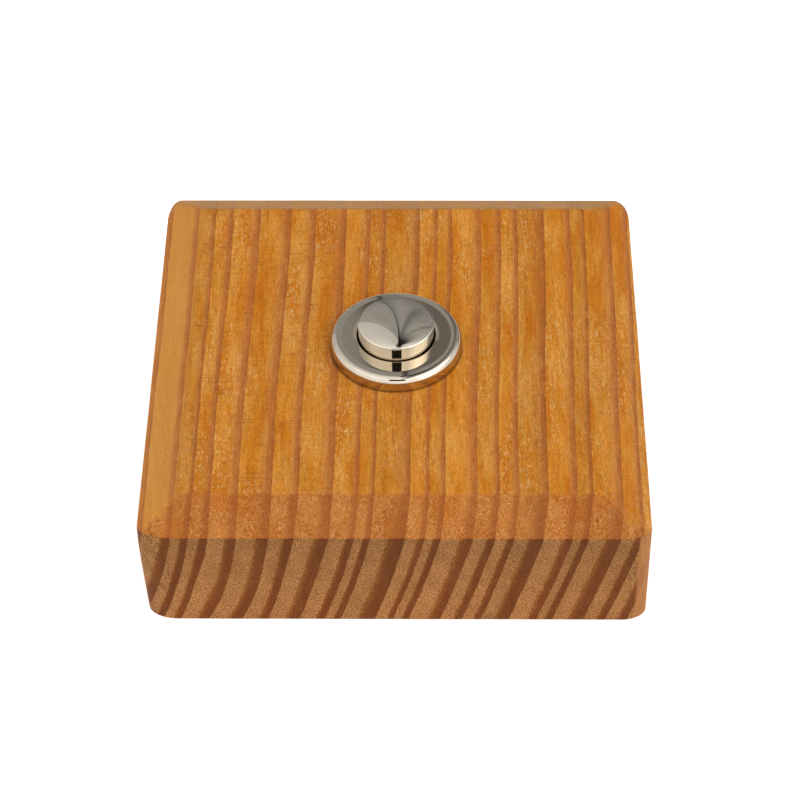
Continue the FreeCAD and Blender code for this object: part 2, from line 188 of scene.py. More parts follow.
def skin(name, rows, wrap_rows=False, wrap_columns=True):
    """A surface through an array of points (rows, columns, 3). Each face joins point (i, j) with
    (i, j+1), (i+1, j+1) and (i+1, j). Rows or columns that wrap are joined last to first."""
    count_rows, count_columns = rows.shape[:2]
    i = np.arange(count_rows if wrap_rows else count_rows - 1)[:, None]
    j = np.arange(count_columns if wrap_columns else count_columns - 1)[None, :]
    below, above = i * count_columns, (i + 1) % count_rows * count_columns
    right = (j + 1) % count_columns
    faces = np.stack(np.broadcast_arrays(below + j, below + right, above + right, above + j), -1)
    mesh = bpy.data.meshes.new(name)
    mesh.from_pydata(rows.reshape(-1, 3), [], faces.reshape(-1, 4))
    obj = bpy.data.objects.new(name, mesh)
    bpy.context.scene.collection.objects.link(obj)
    return obj


def tidy_mesh(obj, sharp_degrees=35.0):
    """Merges coincident points, turns all faces outwards and marks edges past an angle sharp."""
    shape = bmesh.new()
    shape.from_mesh(obj.data)
    bmesh.ops.remove_doubles(shape, verts=shape.verts, dist=TOUCH / 10)
    bmesh.ops.recalc_face_normals(shape, faces=shape.faces)
    shape.to_mesh(obj.data)
    shape.free()
    obj.data.polygons.foreach_set("use_smooth", np.ones(len(obj.data.polygons), bool))
    obj.data.set_sharp_from_angle(angle=radians(sharp_degrees))
    obj.data.update()
    return obj


def arc(centre, radius, start, end, count):
    """Points on an arc: centre plus radius times (sine, cosine) of an angle from the axis up."""
    angle = np.linspace(start, end, count)
    return np.stack([centre[0] + radius * np.sin(angle), centre[1] + radius * np.cos(angle)], -1)


def eased(corners, radii, count=9):
    """A path through straight runs with a tangent arc at each inner corner. The arc is a conic:
    ends at radius times the tangent of half the turn, middle weight the cosine of half of it."""
    corners = [np.array(c, float) for c in corners]
    path = [corners[0][None]]
    share = np.linspace(0, 1, count)[:, None]
    for before, corner, after, radius in zip(corners, corners[1:], corners[2:], radii):
        into, out = corner - before, after - corner
        into, out = into / np.linalg.norm(into), out / np.linalg.norm(out)
        half_turn = acos(max(-1.0, min(1.0, float(into @ out)))) / 2
        reach = radius * tan(half_turn)
        first, last = (1 - share) ** 2, share ** 2
        middle = 2 * share * (1 - share) * cos(half_turn)
        path.append((first * (corner - into * reach) + middle * corner
                     + last * (corner + out * reach)) / (first + middle + last))
    path.append(corners[-1][None])
    return np.concatenate(path)


def turns(count):
    """The angles of a full turn in equal steps."""
    return np.arange(count) / count * FULL_TURN


def about_axis(radius, angle, height):
    """Points at a radius, an angle and a height about the button's axis."""
    x, y = AXIS[0] + radius * np.cos(angle), AXIS[1] + radius * np.sin(angle)
    return np.stack(np.broadcast_arrays(x, y, height), -1)


def circles(profile, segments):
    """Each (radius, height) of a profile as a circle about the button's axis."""
    return about_axis(profile[:, :1], turns(segments), profile[:, 1:])


def turned(name, profile, segments):
    """A profile turned about the button's axis. One that starts away from the axis is closed."""
    return tidy_mesh(skin(name, circles(profile, segments), wrap_rows=profile[0, 0] > 0))


def dense(profile, step):
    """The same path with its long runs divided, so that no run is longer than step."""
    pieces = []
    for here, there in zip(profile[:-1], profile[1:]):
        count = max(1, ceil(float(np.linalg.norm(there - here)) / step))
        share = np.arange(count)[:, None] / count
        pieces.append(here + (there - here) * share)
    pieces.append(profile[-1:])
    return np.concatenate(pieces)


def modifiers_applied(obj):
    """Replaces the object's mesh by what its modifiers make of it."""
    graph = bpy.context.evaluated_depsgraph_get()
    made = bpy.data.meshes.new_from_object(obj.evaluated_get(graph))
    obj.modifiers.clear()
    obj.data = made
    return obj


# Node trees

class Tree:
    """Adds nodes to a shader tree. Values given to a node are numbers, colours or sockets."""

    def __init__(self, tree):
        self.tree = tree

    def add(self, kind, values=None, **attributes):
        node = self.tree.nodes.new("ShaderNode" + kind)
        for key, value in attributes.items():
            setattr(node, key, value)
        for key, value in (values or {}).items():
            self.put(node.inputs[key], value)
        return node

    def put(self, socket, value):
        if isinstance(value, bpy.types.NodeSocket):
            self.tree.links.new(value, socket)
        elif socket.type == "RGBA" and len(value) == 3:
            socket.default_value = (*value, 1.0)
        else:
            socket.default_value = value

    def fill(self, sockets, **values):
        """Puts values into sockets, whose names have spaces for the underscores."""
        for key, value in values.items():
            self.put(sockets[key.replace("_", " ")], value)

    def math(self, operation, *values, clamp=False):
        node = self.add("Math", dict(enumerate(values)), operation=operation, use_clamp=clamp)
        return node.outputs[0]

    def times(self, *values):
        """The product of the values."""
        return reduce(lambda one, other: self.math("MULTIPLY", one, other), values)

    def most(self, *values):
        """The largest of the values."""
        return reduce(lambda one, other: self.math("MAXIMUM", one, other), values)

    def plus(self, one, other):
        return self.math("ADD", one, other)

    def less(self, one, other):
        return self.math("SUBTRACT", one, other)

    def over(self, one, other):
        return self.math("DIVIDE", one, other)

    def size(self, value):
        return self.math("ABSOLUTE", value)

    def off(self, value, middle):
        """How far a value is from the middle one."""
        return self.size(self.less(value, middle))

    def rest(self, share):
        """What a share leaves of one."""
        return self.less(1.0, share)

    def line(self, value, slope, start=0.0, clamp=False):
        """The value times the slope, plus the start."""
        return self.math("MULTIPLY_ADD", value, slope, start, clamp=clamp)

    def spread(self, value, low, high, to_low=0.0, to_high=1.0, smooth=True):
        """Maps low..high onto to_low..to_high, clamped, with soft ends."""
        node = self.add("MapRange", {0: value, 1: low, 2: high, 3: to_low, 4: to_high},
                        interpolation_type="SMOOTHSTEP" if smooth else "LINEAR")
        return node.outputs[0]

    def fade(self, value, low, high, start=1.0, end=0.0):
        """As spread, for what is there at low and gone at high."""
        return self.spread(value, low, high, start, end)

    def mix(self, share, first, second, blend="MIX"):
        node = self.add("Mix", data_type="RGBA", blend_type=blend)
        for socket, value in zip([node.inputs[0], node.inputs[6], node.inputs[7]],
                                 [share, first, second]):
            self.put(socket, value)
        return node.outputs[2]

    def layers(self, colour, *above):
        """The colour with others laid over it in turn, each given as (share, colour)."""
        return reduce(lambda below, layer: self.mix(layer[0], below, layer[1]), above, colour)

    def shaded(self, colour, brightness):
        """The colour times a number."""
        return self.mix(1.0, colour, brightness, "MULTIPLY")

    def vector(self, operation, *values):
        """Arithmetic with vectors. A length or a distance is a number."""
        node = self.add("VectorMath", dict(enumerate(values)), operation=operation)
        return node.outputs["Value" if operation in ("LENGTH", "DISTANCE") else "Vector"]

    def parts(self, vector):
        return self.add("SeparateXYZ", {0: vector}).outputs

    def joined(self, x, y):
        return self.add("CombineXYZ", {0: x, 1: y}).outputs[0]

    def noise(self, vector, scale, detail=2.0, rough=0.5, distortion=0.0):
        """Noise from 0 to 1. scale is per millimetre, for each direction."""
        node = self.add("TexNoise", {"Vector": self.vector("MULTIPLY", vector, scale),
                                     "Scale": 1.0, "Detail": detail, "Roughness": rough,
                                     "Distortion": distortion})
        return node.outputs["Fac"]

    def swing(self, *noise):
        """Noise about zero."""
        return self.less(self.noise(*noise), 0.5)

    def ramp(self, value, stops):
        """A colour ramp. Stops are (place, grey or colour)."""
        node = self.add("ValToRGB", {0: value})
        elements = node.color_ramp.elements
        while len(elements) < len(stops):
            elements.new(0.5)
        for element, (place, colour) in zip(elements, stops):
            element.position = place
            element.color = (*np.broadcast_to(colour, 3), 1)
        return node.outputs[0]

    def bump(self, height, strength, distance):
        """The normal over a relief. The distance is in millimetres."""
        return self.add("Bump", {"Height": height, "Strength": strength,
                                 "Distance": distance * MM}).outputs[0]

    def group(self, effect, **values):
        """Places a shared effect."""
        node = self.add("Group", node_tree=effect)
        self.fill(node.inputs, **values)
        return node.outputs


def effect(name, vectors, numbers, outputs):
    """A shader node group that takes vectors and numbers and gives numbers, each by name: the
    group, the tree to fill it with, what comes in and where the results go."""
    group = bpy.data.node_groups.new(name, "ShaderNodeTree")
    for labels, way, kind in ((vectors, "INPUT", "Vector"), (numbers, "INPUT", "Float"),
                              (outputs, "OUTPUT", "Float")):
        for label in labels:
            group.interface.new_socket(label, in_out=way, socket_type="NodeSocket" + kind)
    entry = group.nodes.new("NodeGroupInput")
    leave = group.nodes.new("NodeGroupOutput")
    return group, Tree(group), entry.outputs, leave.inputs


def shared(name, build):
    """The effect of that name, built the first time that it is asked for."""
    return bpy.data.node_groups.get(name) or build(name)


def new_material(name):
    """A material with an empty tree, its shader and the place on the piece in millimetres."""
    material = bpy.data.materials.new(name)
    material.use_nodes = True
    material.node_tree.nodes.clear()
    tree = Tree(material.node_tree)
    shader = tree.add("BsdfPrincipled")
    tree.add("OutputMaterial", {"Surface": shader.outputs[0]})
    place = tree.vector("MULTIPLY", tree.add("TexCoord").outputs["Object"], (1 / MM,) * 3)
    return material, tree, shader, place


# Wood

# Where each year's dark line ends on the face near its front, in millimetres from the middle.
YEAR_LINES = (-46.0, -43.0, -38.5, -34.0, -31.2, -28.5, -24.2, -19.0, -14.8, -9.5, -5.5, -3.0,
              2.5, 5.5, 8.0, 13.0, 16.5, 19.5, 24.0, 28.5, 31.0, 36.0, 39.5, 43.0, 46.5, 50.0)
YEAR_SPAN = (-48.0, 54.0)
# How the rings wander: scale of the noise for each direction, and how far, in millimetres
WANDERING = (((0.05, 0.022, 0.05), 0.6), ((0.22, 0.06, 0.22), 0.30),
             ((1.1, 0.3, 1.1), 0.16), ((3.6, 0.9, 3.6), 0.22))

# Colours of the wood besides those in the settings, as linear red, green and blue
PALE_OIL, SUNK_OIL = (0.62, 0.265, 0.045), (0.43, 0.115, 0.008)
CROSS_MARK, FIRST_YEARS = (0.33, 0.085, 0.008), (0.60, 0.275, 0.060)
RING_EDGE, RING_LINE = (0.385, 0.115, 0.022), (0.20, 0.045, 0.010)
TORN_DEEP, TORN_PALE = (0.235, 0.056, 0.005), (0.62, 0.292, 0.104)
TORN_PIT, TORN_FLECK = (0.23, 0.054, 0.005), (0.66, 0.33, 0.12)
DRY_PATCH, OILY_PATCH = (0.50, 0.185, 0.045), (0.40, 0.100, 0.006)
# the second colour on the next line is a painted sheen: the pale glancing reflection on the back
# slope
SLOPE_RING, BACK_SLOPE_SHEEN = (0.27, 0.066, 0.012), (0.52, 0.27, 0.060)
SCRAPED_DEEP, SCRAPED_PALE = (0.34, 0.125, 0.030), (0.52, 0.24, 0.085)
SAWN_PORE, SAWN_FIBRE = (0.120, 0.038, 0.006), (0.60, 0.35, 0.165)
BAND_DEEP, BAND_PALE = (0.172, 0.046, 0.004), (0.28, 0.092, 0.016)
SAWN_CLOUD, HEART_PALE = (0.40, 0.168, 0.048), (0.205, 0.056, 0.008)


def growth_rings(name):
    """Distance across the rings is x, plus a lean and a bend that grow with the depth below the
    face, less a drift half way along the board, plus slow noise. A curve turns it into years:
    its whole numbers fall on YEAR_LINES. Late wood fills the last two fifths of a year and ends
    sharply. It begins softly in Late and at a line in Sharp."""
    group, t, entry, leave = effect(name, ["Position"], ["Depth"],
                                    ["Late", "Sharp", "Dense", "Edge", "Tone", "Phase"])
    place, depth = entry["Position"], entry["Depth"]
    x, y, _ = t.parts(place)
    hooked = t.times(t.spread(x, -31.5, -27.5), t.fade(x, -22.0, -16.0))
    lean = t.line(hooked, -0.12, t.line(x, 0.0013, 0.175))
    bend = t.line(hooked, 0.0048, t.line(x, -0.00004, 0.0036))
    shift = t.times(depth, t.line(bend, depth, lean))
    drift = t.plus(t.spread(x, -33.0, -24.0, 0.05, 0.75),
                   t.less(t.spread(x, -9.0, 4.0, 0.0, 0.55), t.spread(x, 12.0, 20.0, 0.0, 0.4)))
    across = t.less(t.plus(x, shift), t.times(drift, t.spread(y, -24.0, 24.0)))
    for scale, reach in WANDERING:
        across = t.line(t.swing(place, scale), reach, across)

    low, high = YEAR_SPAN
    curve = t.add("FloatCurve", {"Value": t.spread(across, low, high, smooth=False)})
    line = curve.mapping.curves[0]
    years = len(YEAR_LINES) + 1
    line.points[0].location, line.points[1].location = (0, 0), (1, 1)
    for year, crossing in enumerate(YEAR_LINES, 1):
        line.points.new((crossing - low) / (high - low), year / years)
    curve.mapping.update()
    year = t.times(curve.outputs[0], years)
    phase = t.math("FRACT", year)
    tone = t.add("TexWhiteNoise", {"W": t.math("FLOOR", year)}, noise_dimensions="1D").outputs[0]

    into = t.less(phase, t.line(tone, 0.12, 0.52))
    thin = t.less(into, t.fade(x, -38.0, -31.0, 0.17))
    ragged = t.swing(place, (2.2, 0.5, 1.4), 3.0, 0.7)
    begun = t.line(ragged, 0.32, t.plus(into, 0.045))
    fall = t.fade(phase, 0.965, 0.999)
    t.fill(leave, Late=t.times(t.spread(thin, -0.10, 0.24), fall),
           Sharp=t.times(t.spread(begun, -0.03, 0.05), fall),
           Dense=t.times(t.spread(begun, 0.02, 0.20), fall),
           Edge=t.times(t.spread(phase, 0.70, 0.86), fall), Tone=tone, Phase=phase)
    return group


def oiled_pine():
    """Oiled pine. Long grain shows on the face, end grain where the surface looks along the
    fibre: the share of end grain is the size of the normal's y."""
    look = settings("block")
    material, t, shader, place = new_material("oiled_pine")
    x, y, z = t.parts(place)
    half, _, face = node_box("wood_block")[1] / MM
    rings = t.group(shared("growth_rings", growth_rings), Position=place, Depth=t.less(face, z))
    _, along, up = t.parts(t.add("NewGeometry").outputs["Normal"])
    slant, side_on = t.size(along), t.fade(t.size(up), 0.25, 0.60)
    # the planed edges are a little ragged, the corners on the left are rubbed to end grain, and
    # a scraped strip runs up the corner on the right
    planed = t.swing(place, (1.7, 1.0, 1.7), 3.0, 0.7)
    cut_at = t.line(planed, 0.9, slant)
    slope = t.spread(cut_at, 0.12, 0.45)
    # where the back slope lies, which gets a painted sheen
    back_slope_sheen = t.spread(t.line(planed, 0.9, along), 0.12, 0.45)
    rubbed = t.times(side_on, t.fade(x, -2.0, 2.0), t.spread(slant, 0.24, 0.58))
    strip = t.times(side_on, t.spread(x, half - 2.2, half - 1.7, 0.0, 0.85))
    end = t.times(t.most(t.spread(cut_at, 0.55, 0.93), rubbed), t.rest(strip))
    grit = t.noise(place, (3.1, 2.0, 3.6), 4.0, 0.8)

    # long grain: blotches of oil, dry flecks, sunk oil and short marks across the fibre; the
    # first years on the left are pale and smooth
    blotch = t.noise(place, (0.34, 0.055, 0.34), 3.0, 0.6, 0.3)
    dry = t.noise(place, (2.0, 0.75, 2.0), 4.0, 0.75, 1.4)
    dry_zone = t.spread(t.noise(place, (0.17, 0.05, 0.17)), 0.43, 0.60)
    fleck = t.times(t.spread(dry, 0.50, 0.62), t.line(dry_zone, 0.72, 0.12))
    sunk = t.noise(place, (1.5, 0.30, 1.5), 4.0, 0.75, 0.8)
    mark_zone = t.times(t.spread(x, -37.0, -31.0), t.fade(x, -12.0, 2.0))
    mark = t.times(t.spread(t.noise(place, (0.20, 4.0, 0.20), 2.0, 0.6, 0.3), 0.54, 0.66),
                   t.spread(t.noise(place, (0.5, 0.16, 0.5)), 0.38, 0.58),
                   t.line(mark_zone, 0.46, 0.10))
    plain = t.fade(x, -35.5, -32.0)
    late = t.times(rings["Late"], t.line(rings["Tone"], 0.30, 0.36), t.line(plain, -0.15, 1.0),
                   t.spread(t.noise(place, (1.2, 0.12, 1.2), 3.0), 0.25, 0.60, 0.72, 1.0))
    worn = t.times(t.spread(t.noise(place, (0.6, 0.25, 0.6), 3.0, 0.7), 0.35, 0.60, 0.40, 0.85),
                   t.line(plain, -0.30, 1.0), rings["Edge"])
    wood = t.layers(
        t.ramp(blotch, [(0.36, look.deep_oil), (0.50, look.early_wood), (0.66, PALE_OIL)]),
        (fleck, look.pale_fibre),
        (t.spread(sunk, 0.52, 0.68, 0.0, 0.62), SUNK_OIL),
        (mark, CROSS_MARK),
        (t.times(plain, 0.62), FIRST_YEARS),
        (late, look.late_wood),
        (worn, RING_EDGE),
        (t.times(t.spread(rings["Phase"], 0.88, 0.96, 0.0, 0.42), worn), RING_LINE))

    # the slopes at the ends cut the fibre at a flat angle, which drinks more oil
    hair = t.noise(place, (1.8, 1.2, 1.8), 4.0, 0.85, 2.1)
    patch = t.noise(place, (0.16, 0.16, 0.16))
    torn = t.layers(
        TORN_DEEP,
        (t.spread(hair, 0.36, 0.47), look.slope_tint),
        (t.spread(hair, 0.49, 0.58), TORN_PALE),
        (t.fade(grit, 0.36, 0.48, 0.75), TORN_PIT),
        (t.spread(grit, 0.56, 0.68, 0.0, 0.32), TORN_FLECK),
        (t.spread(patch, 0.46, 0.66, 0.0, 0.60), DRY_PATCH),
        (t.fade(patch, 0.34, 0.48, 0.50), OILY_PATCH),
        (t.times(rings["Late"], 0.72), SLOPE_RING))

    # the upright corners are scraped along the edge, and the sides a little
    scraped = t.spread(t.noise(place, (4.0, 4.0, 0.25), 3.0, 0.7), 0.35, 0.65)
    flank = t.mix(scraped, SCRAPED_DEEP, SCRAPED_PALE)

    # sawn ends: fine pores, cloudy early wood and dark bands, with painted light from the floor's
    # bounce: lighter towards the bottom, darker towards the top
    cloud = t.noise(place, (0.30, 0.10, 0.30), 3.0, 0.6)
    stain = t.noise(place, (0.45, 0.2, 0.16), 3.0, 0.65)
    sawn = t.layers(
        look.end_early,
        (t.spread(cloud, 0.34, 0.66), SAWN_CLOUD),
        (t.fade(grit, 0.36, 0.50, 0.95), SAWN_PORE),
        (t.spread(grit, 0.52, 0.64, 0.0, 0.76), SAWN_FIBRE),
        (t.times(rings["Sharp"], t.fade(stain, 0.30, 0.62, 0.98, 0.86)),
         t.mix(t.spread(grit, 0.40, 0.62), BAND_DEEP, BAND_PALE)),
        (t.times(rings["Dense"], t.fade(stain, 0.34, 0.66, 0.97, 0.70)),
         t.mix(t.spread(grit, 0.46, 0.66), look.end_late, HEART_PALE)))
    # painted light: the floor's bounce is painted in as a gradient up the sawn ends
    sawn = t.shaded(sawn, t.spread(z, 1.0, 18.0, 1.15, 0.89, smooth=False))

    wood = t.layers(
        wood,
        (t.times(slope, 0.82), torn),
        # painted sheen: the back slope is paled as a glancing reflection would show it
        (t.times(back_slope_sheen, t.spread(hair, 0.38, 0.60, 0.42, 0.80)), BACK_SLOPE_SHEEN),
        (t.times(side_on, t.spread(slant, 0.03, 0.35, 0.20, 0.70)), flank),
        (end, sawn))

    # fibre streaks, grain and each year's own tone; round the bezel a painted contact shadow darkens
    # the wood
    fibre = t.noise(place, (5.5, 0.16, 5.5), 3.0, 0.6)
    grain = t.noise(place, (3.4, 2.0, 3.4), 3.0, 0.8, 0.4)
    rough_part = t.line(plain, -0.6, 1.0)
    shade = t.line(t.times(t.less(fibre, 0.5), rough_part), 0.68, 1.0)
    shade = t.line(t.times(t.less(grain, 0.5), rough_part), 1.25, shade)
    off_bezel = t.vector("DISTANCE", place, (AXIS[0] / MM, AXIS[1] / MM, face))
    rim = node_radius("bezel_body") / MM
    # painted contact shadow: next to the bezel's rim the wood is painted half as bright, fading out
    # over 0.4 mm
    brightness = t.times(shade, t.line(rings["Tone"], 0.12, 0.862),
                         t.spread(off_bezel, rim, rim + 0.4, 0.5, 1.0))

    relief = t.line(fibre, 0.5, t.times(rings["Late"], 0.55))
    for rise, weight in ((fleck, 0.5), (grain, 0.5), (t.times(grit, slant), 1.3),
                         (t.times(hair, slope), 1.2)):
        relief = t.line(rise, weight, relief)
    t.fill(shader.inputs, Base_Color=t.shaded(wood, brightness),
           Roughness=t.line(rings["Late"], -0.06, t.line(blotch, 0.24, 0.42)),
           Normal=t.bump(relief, 0.6, 0.10), Specular_IOR_Level=0.08)
    return material


# Metals and mouldings

# specks of dust, and the painted dark reflection along the push's far edge
SPECK, EDGE_SHADE = (0.80, 0.76, 0.68), (0.16, 0.14, 0.11)
HANDLED_FILM = (0.665, 0.570, 0.435)


def fine_wear(name):
    """Thin scratches in three directions, a few specks and smears. Scratches are noise stretched
    to long lines and cut off high; specks are the middles of sparse cells."""
    group, t, entry, leave = effect(name, ["Position"], ["Size"], ["Scratch", "Speck", "Smear"])
    place = t.vector("MULTIPLY", entry["Position"], entry["Size"])
    lines = [t.spread(t.noise(place, scale, 1.0), 0.70, 0.78)
             for scale in ((0.25, 9.0, 3.0), (8.0, 0.3, 3.0), (5.0, 4.0, 0.2))]
    cells = t.add("TexVoronoi", {"Vector": place, "Scale": 1.1, "Randomness": 1.0}).outputs
    chosen = t.add("TexWhiteNoise", {"Vector": cells["Color"]}).outputs[0]
    t.fill(leave, Scratch=t.most(*lines),
           Speck=t.times(t.fade(cells["Distance"], 0.0, 0.09), t.spread(chosen, 0.80, 0.82)),
           Smear=t.noise(place, (0.22, 0.30, 0.5), 3.0, 0.55, 1.2))
    return group


def handled_plate_painted_reflection(t, colour, smear, x, y, flat, reach):
    """Plate that fingers touch. Within reach of the axis it has a warm film. Painted reflections
    shade it: within reach it is darkened, more on the right, with a painted light patch by the
    lip to each side, and outside reach it is a little darker on the left, with a painted dark
    crescent on the band outside it, on the right. A darker line runs along the step at reach on
    the right."""
    off_axis = t.vector("LENGTH", flat)
    within = t.fade(off_axis, reach - 0.1, reach + 0.1)
    film = t.times(t.line(within, 0.65, 0.35), t.spread(smear, 0.30, 0.60, 0.80, 1.0))
    # painted reflection: outside reach the plate is a little darker on the left
    outer = t.times(t.rest(within), t.spread(x, -9.0, 9.0, 0.92, 0.99))
    # painted reflection: a painted light patch by the lip to each side
    painted_light_patch = t.times(t.fade(off_axis, 6.8, 7.2), t.spread(t.size(x), 4.6, 6.2),
                       t.spread(y, -2.7, t.fade(x, -1.0, 1.0, -0.9, -1.5)))
    # painted reflection: within reach the plate is darkened, more on the right, and lightened by the
    # patches
    inner = t.line(painted_light_patch, t.spread(x, -1.0, 1.0, 0.42, 0.64),
                   t.fade(x, 1.0, 6.0, 0.86, 0.58))
    # a darker line along the step at reach on the right
    step_line = t.times(t.fade(t.off(off_axis, reach), 0.0, 0.16, 0.26), t.spread(x, -3.0, 3.0))
    # painted dark reflection: a crescent on the band outside reach, on the right and to the front
    off_crescent = t.off(t.vector("DISTANCE", flat, (-0.99, 0.40, 0.0)), 10.64)
    crescent = t.times(t.fade(off_crescent, 0.06, 0.30), t.spread(x, 0.5, 2.2),
                       t.fade(y, 5.0, 8.0), t.fade(y, -10.0, -6.0, 0.86, 0.44))
    # the painted reflection shade and the step line darken the film and the plate
    depth = t.times(t.line(within, inner, outer), t.rest(t.most(step_line, crescent)))
    return t.shaded(t.mix(film, colour, HANDLED_FILM), depth)


def metal(name, tint, polish, rough_range, scratch, relief=0.0, wear_size=1.0, film_and_reflection_reach=0.0,
          shaded_edge_radius=0.0):
    """A plated or bare metal: tint varied by smears, roughness raised on scratches and specks,
    and a fine relief from how the piece was worked. Fingers reach to the given radius about the
    button's axis, where the plate also gets painted reflections, and outside the given edge
    radius the far edge is painted dark, a painted dark reflection."""
    material, t, shader, place = new_material(name)
    wear = t.group(shared("fine_wear", fine_wear), Position=place, Size=wear_size)
    smear, speck = wear["Smear"], wear["Speck"]
    dull = t.line(smear, rough_range, polish)
    dull = t.line(wear["Scratch"], scratch * 0.35, dull)
    dull = t.line(speck, scratch, dull, clamp=True)
    colour = t.mix(t.spread(smear, 0.35, 0.65), [0.93 * part for part in tint], tint)
    x, y, z = t.parts(place)
    flat = t.joined(t.less(x, AXIS[0] / MM), t.less(y, AXIS[1] / MM))
    # painted dark reflection: outside the given radius and above the dome's edge, the push's far edge
    # is painted dark
    if shaded_edge_radius:
        # the dome ends this far below its top
        dome_edge = node_box("push_cap")[1][2] / MM - 1.6
        painted_edge_shade = t.times(t.spread(t.vector("LENGTH", flat), shaded_edge_radius - 0.1, shaded_edge_radius),
                        t.spread(z, dome_edge, dome_edge + 0.2), t.spread(y, -2.0, 2.0, 0.0, 0.85))
        colour = t.mix(painted_edge_shade, colour, EDGE_SHADE)
    # the handled plate: a warm film with painted reflections
    if film_and_reflection_reach:
        colour = handled_plate_painted_reflection(t, colour, smear, x, y, flat, film_and_reflection_reach)
    t.fill(shader.inputs, Base_Color=t.mix(speck, colour, SPECK), Roughness=dull,
           Metallic=t.rest(t.times(speck, 0.9)))
    if relief:
        worked = t.noise(place, (2.5, 2.5, 6.0), 3.0, 0.6)
        t.fill(shader.inputs, Normal=t.bump(worked, relief, 0.05))
    return material


def moulding(name, colour, rough, grain=0.2):
    """Moulded plastic or rubber: faint flow marks and a fine spark-eroded grain."""
    material, t, shader, place = new_material(name)
    flow = t.noise(place, (0.5, 0.35, 0.8), 3.0, 0.6, 0.8)
    lighter = [1.25 * part + 0.004 for part in colour]
    t.fill(shader.inputs, Base_Color=t.mix(t.spread(flow, 0.35, 0.7), colour, lighter),
           Roughness=t.line(flow, 0.16, rough),
           Normal=t.bump(t.noise(place, (9.0, 9.0, 9.0), 2.0, 0.6), grain, 0.03))
    return material


def finish(slot):
    """The material of one of the slots, made the first time that it is asked for."""
    name, look = slot + "_finish", settings("metal")
    makers = {
        # the push's nickel, with a painted dark reflection along its far edge
        "polished_nickel": lambda: metal(name, look.nickel, 0.012, 0.030, 0.25, shaded_edge_radius=5.9),
        # the bezel's nickel, with a warm film and painted reflections
        "handled_nickel_painted_reflection": lambda: metal(name, look.nickel, 0.014, 0.030, 0.25, wear_size=1.7,
                                        film_and_reflection_reach=8.9),
        "nickel_brass": lambda: metal(name, look.nickel, 0.20, 0.14, 0.4, 0.25),
        "zinc_steel": lambda: metal(name, look.zinc, 0.24, 0.18, 0.5, 0.3),
        "spring_steel": lambda: metal(name, look.steel, 0.26, 0.12, 0.3, 0.15),
        "contact_brass": lambda: metal(name, look.brass, 0.22, 0.14, 0.4, 0.2),
        "silver_tip": lambda: metal(name, look.silver, 0.20, 0.12, 0.3, 0.1),
        "black_moulding": lambda: moulding(name, (0.020, 0.020, 0.021), 0.42),
        "white_moulding": lambda: moulding(name, (0.72, 0.70, 0.64), 0.40, 0.12),
        "black_rubber": lambda: moulding(name, (0.016, 0.016, 0.016), 0.62, 0.35),
    }
    return bpy.data.materials.get(name) or makers[slot]()


def placed(piece, body, slot, *nodes, finished=None):
    """The piece gets its finish, rides on the body, has the slot and stands for the nodes."""
    piece.data.materials.clear()
    piece.data.materials.append(finished or finish(slot))
    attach(piece, body)
    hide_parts(*nodes)


# Block

SIDE_POINTS, CORNER_POINTS = 60, 14
# Signs of x and y at the upright corners: back right, back left, front left and front right. Then
# their half axes across and along the grain, in millimetres.
CORNER_SIGNS = ((1, 1), (-1, 1), (-1, -1), (1, -1))
CORNERS_ACROSS = (3.0, 2.6, 5.2, 3.9)
CORNERS_ALONG = (5.0, 5.2, 2.8, 2.0)
LONGEST_FACE = 1.6 * MM


def rounded_squares(half, across, along):
    """Outlines of squares with rounded corners, one for each half width. Corner k is a quarter
    of an ellipse from k to k+1 quarter turns about its centre, with half axes across and along,
    and the sides between corners are straight."""
    arcs = []
    for k, (side_x, side_y) in enumerate(CORNER_SIGNS):
        angle = pi / 2 * (k + np.linspace(0, 1, CORNER_POINTS))
        wide, long = across[:, k:k + 1], along[:, k:k + 1]
        arcs.append(np.stack([side_x * (half - wide) + wide * np.cos(angle),
                              side_y * (half - long) + long * np.sin(angle)], -1))
    share = (np.arange(1, SIDE_POINTS) / SIDE_POINTS)[:, None]
    pieces = []
    for corner, following in zip(arcs, arcs[1:] + arcs[:1]):
        here, there = corner[:, -1:], following[:, :1]
        pieces += [corner, here + (there - here) * share]
    return np.concatenate(pieces, 1)


def block_section(look):
    """The block's outer section as (inset, height), its half width and its height. The slope's
    run and drop are read from the frame's own block."""
    points = node_points("wood_block")
    half, _, face = points.max(0)
    run = half - np.abs(points[points[:, 2] > face - TOUCH][:, 0]).max()
    shoulder = points[np.abs(points[:, 0]) > half - TOUCH][:, 2].max()
    inner = run + 7 * MM
    path = eased([(inner, 0), (0, 0), (0, shoulder), (run, face), (inner, face)],
                 [look.back_ease * MM, look.side_ease * MM, look.ridge_ease * MM])
    return dense(path, LONGEST_FACE), half, face


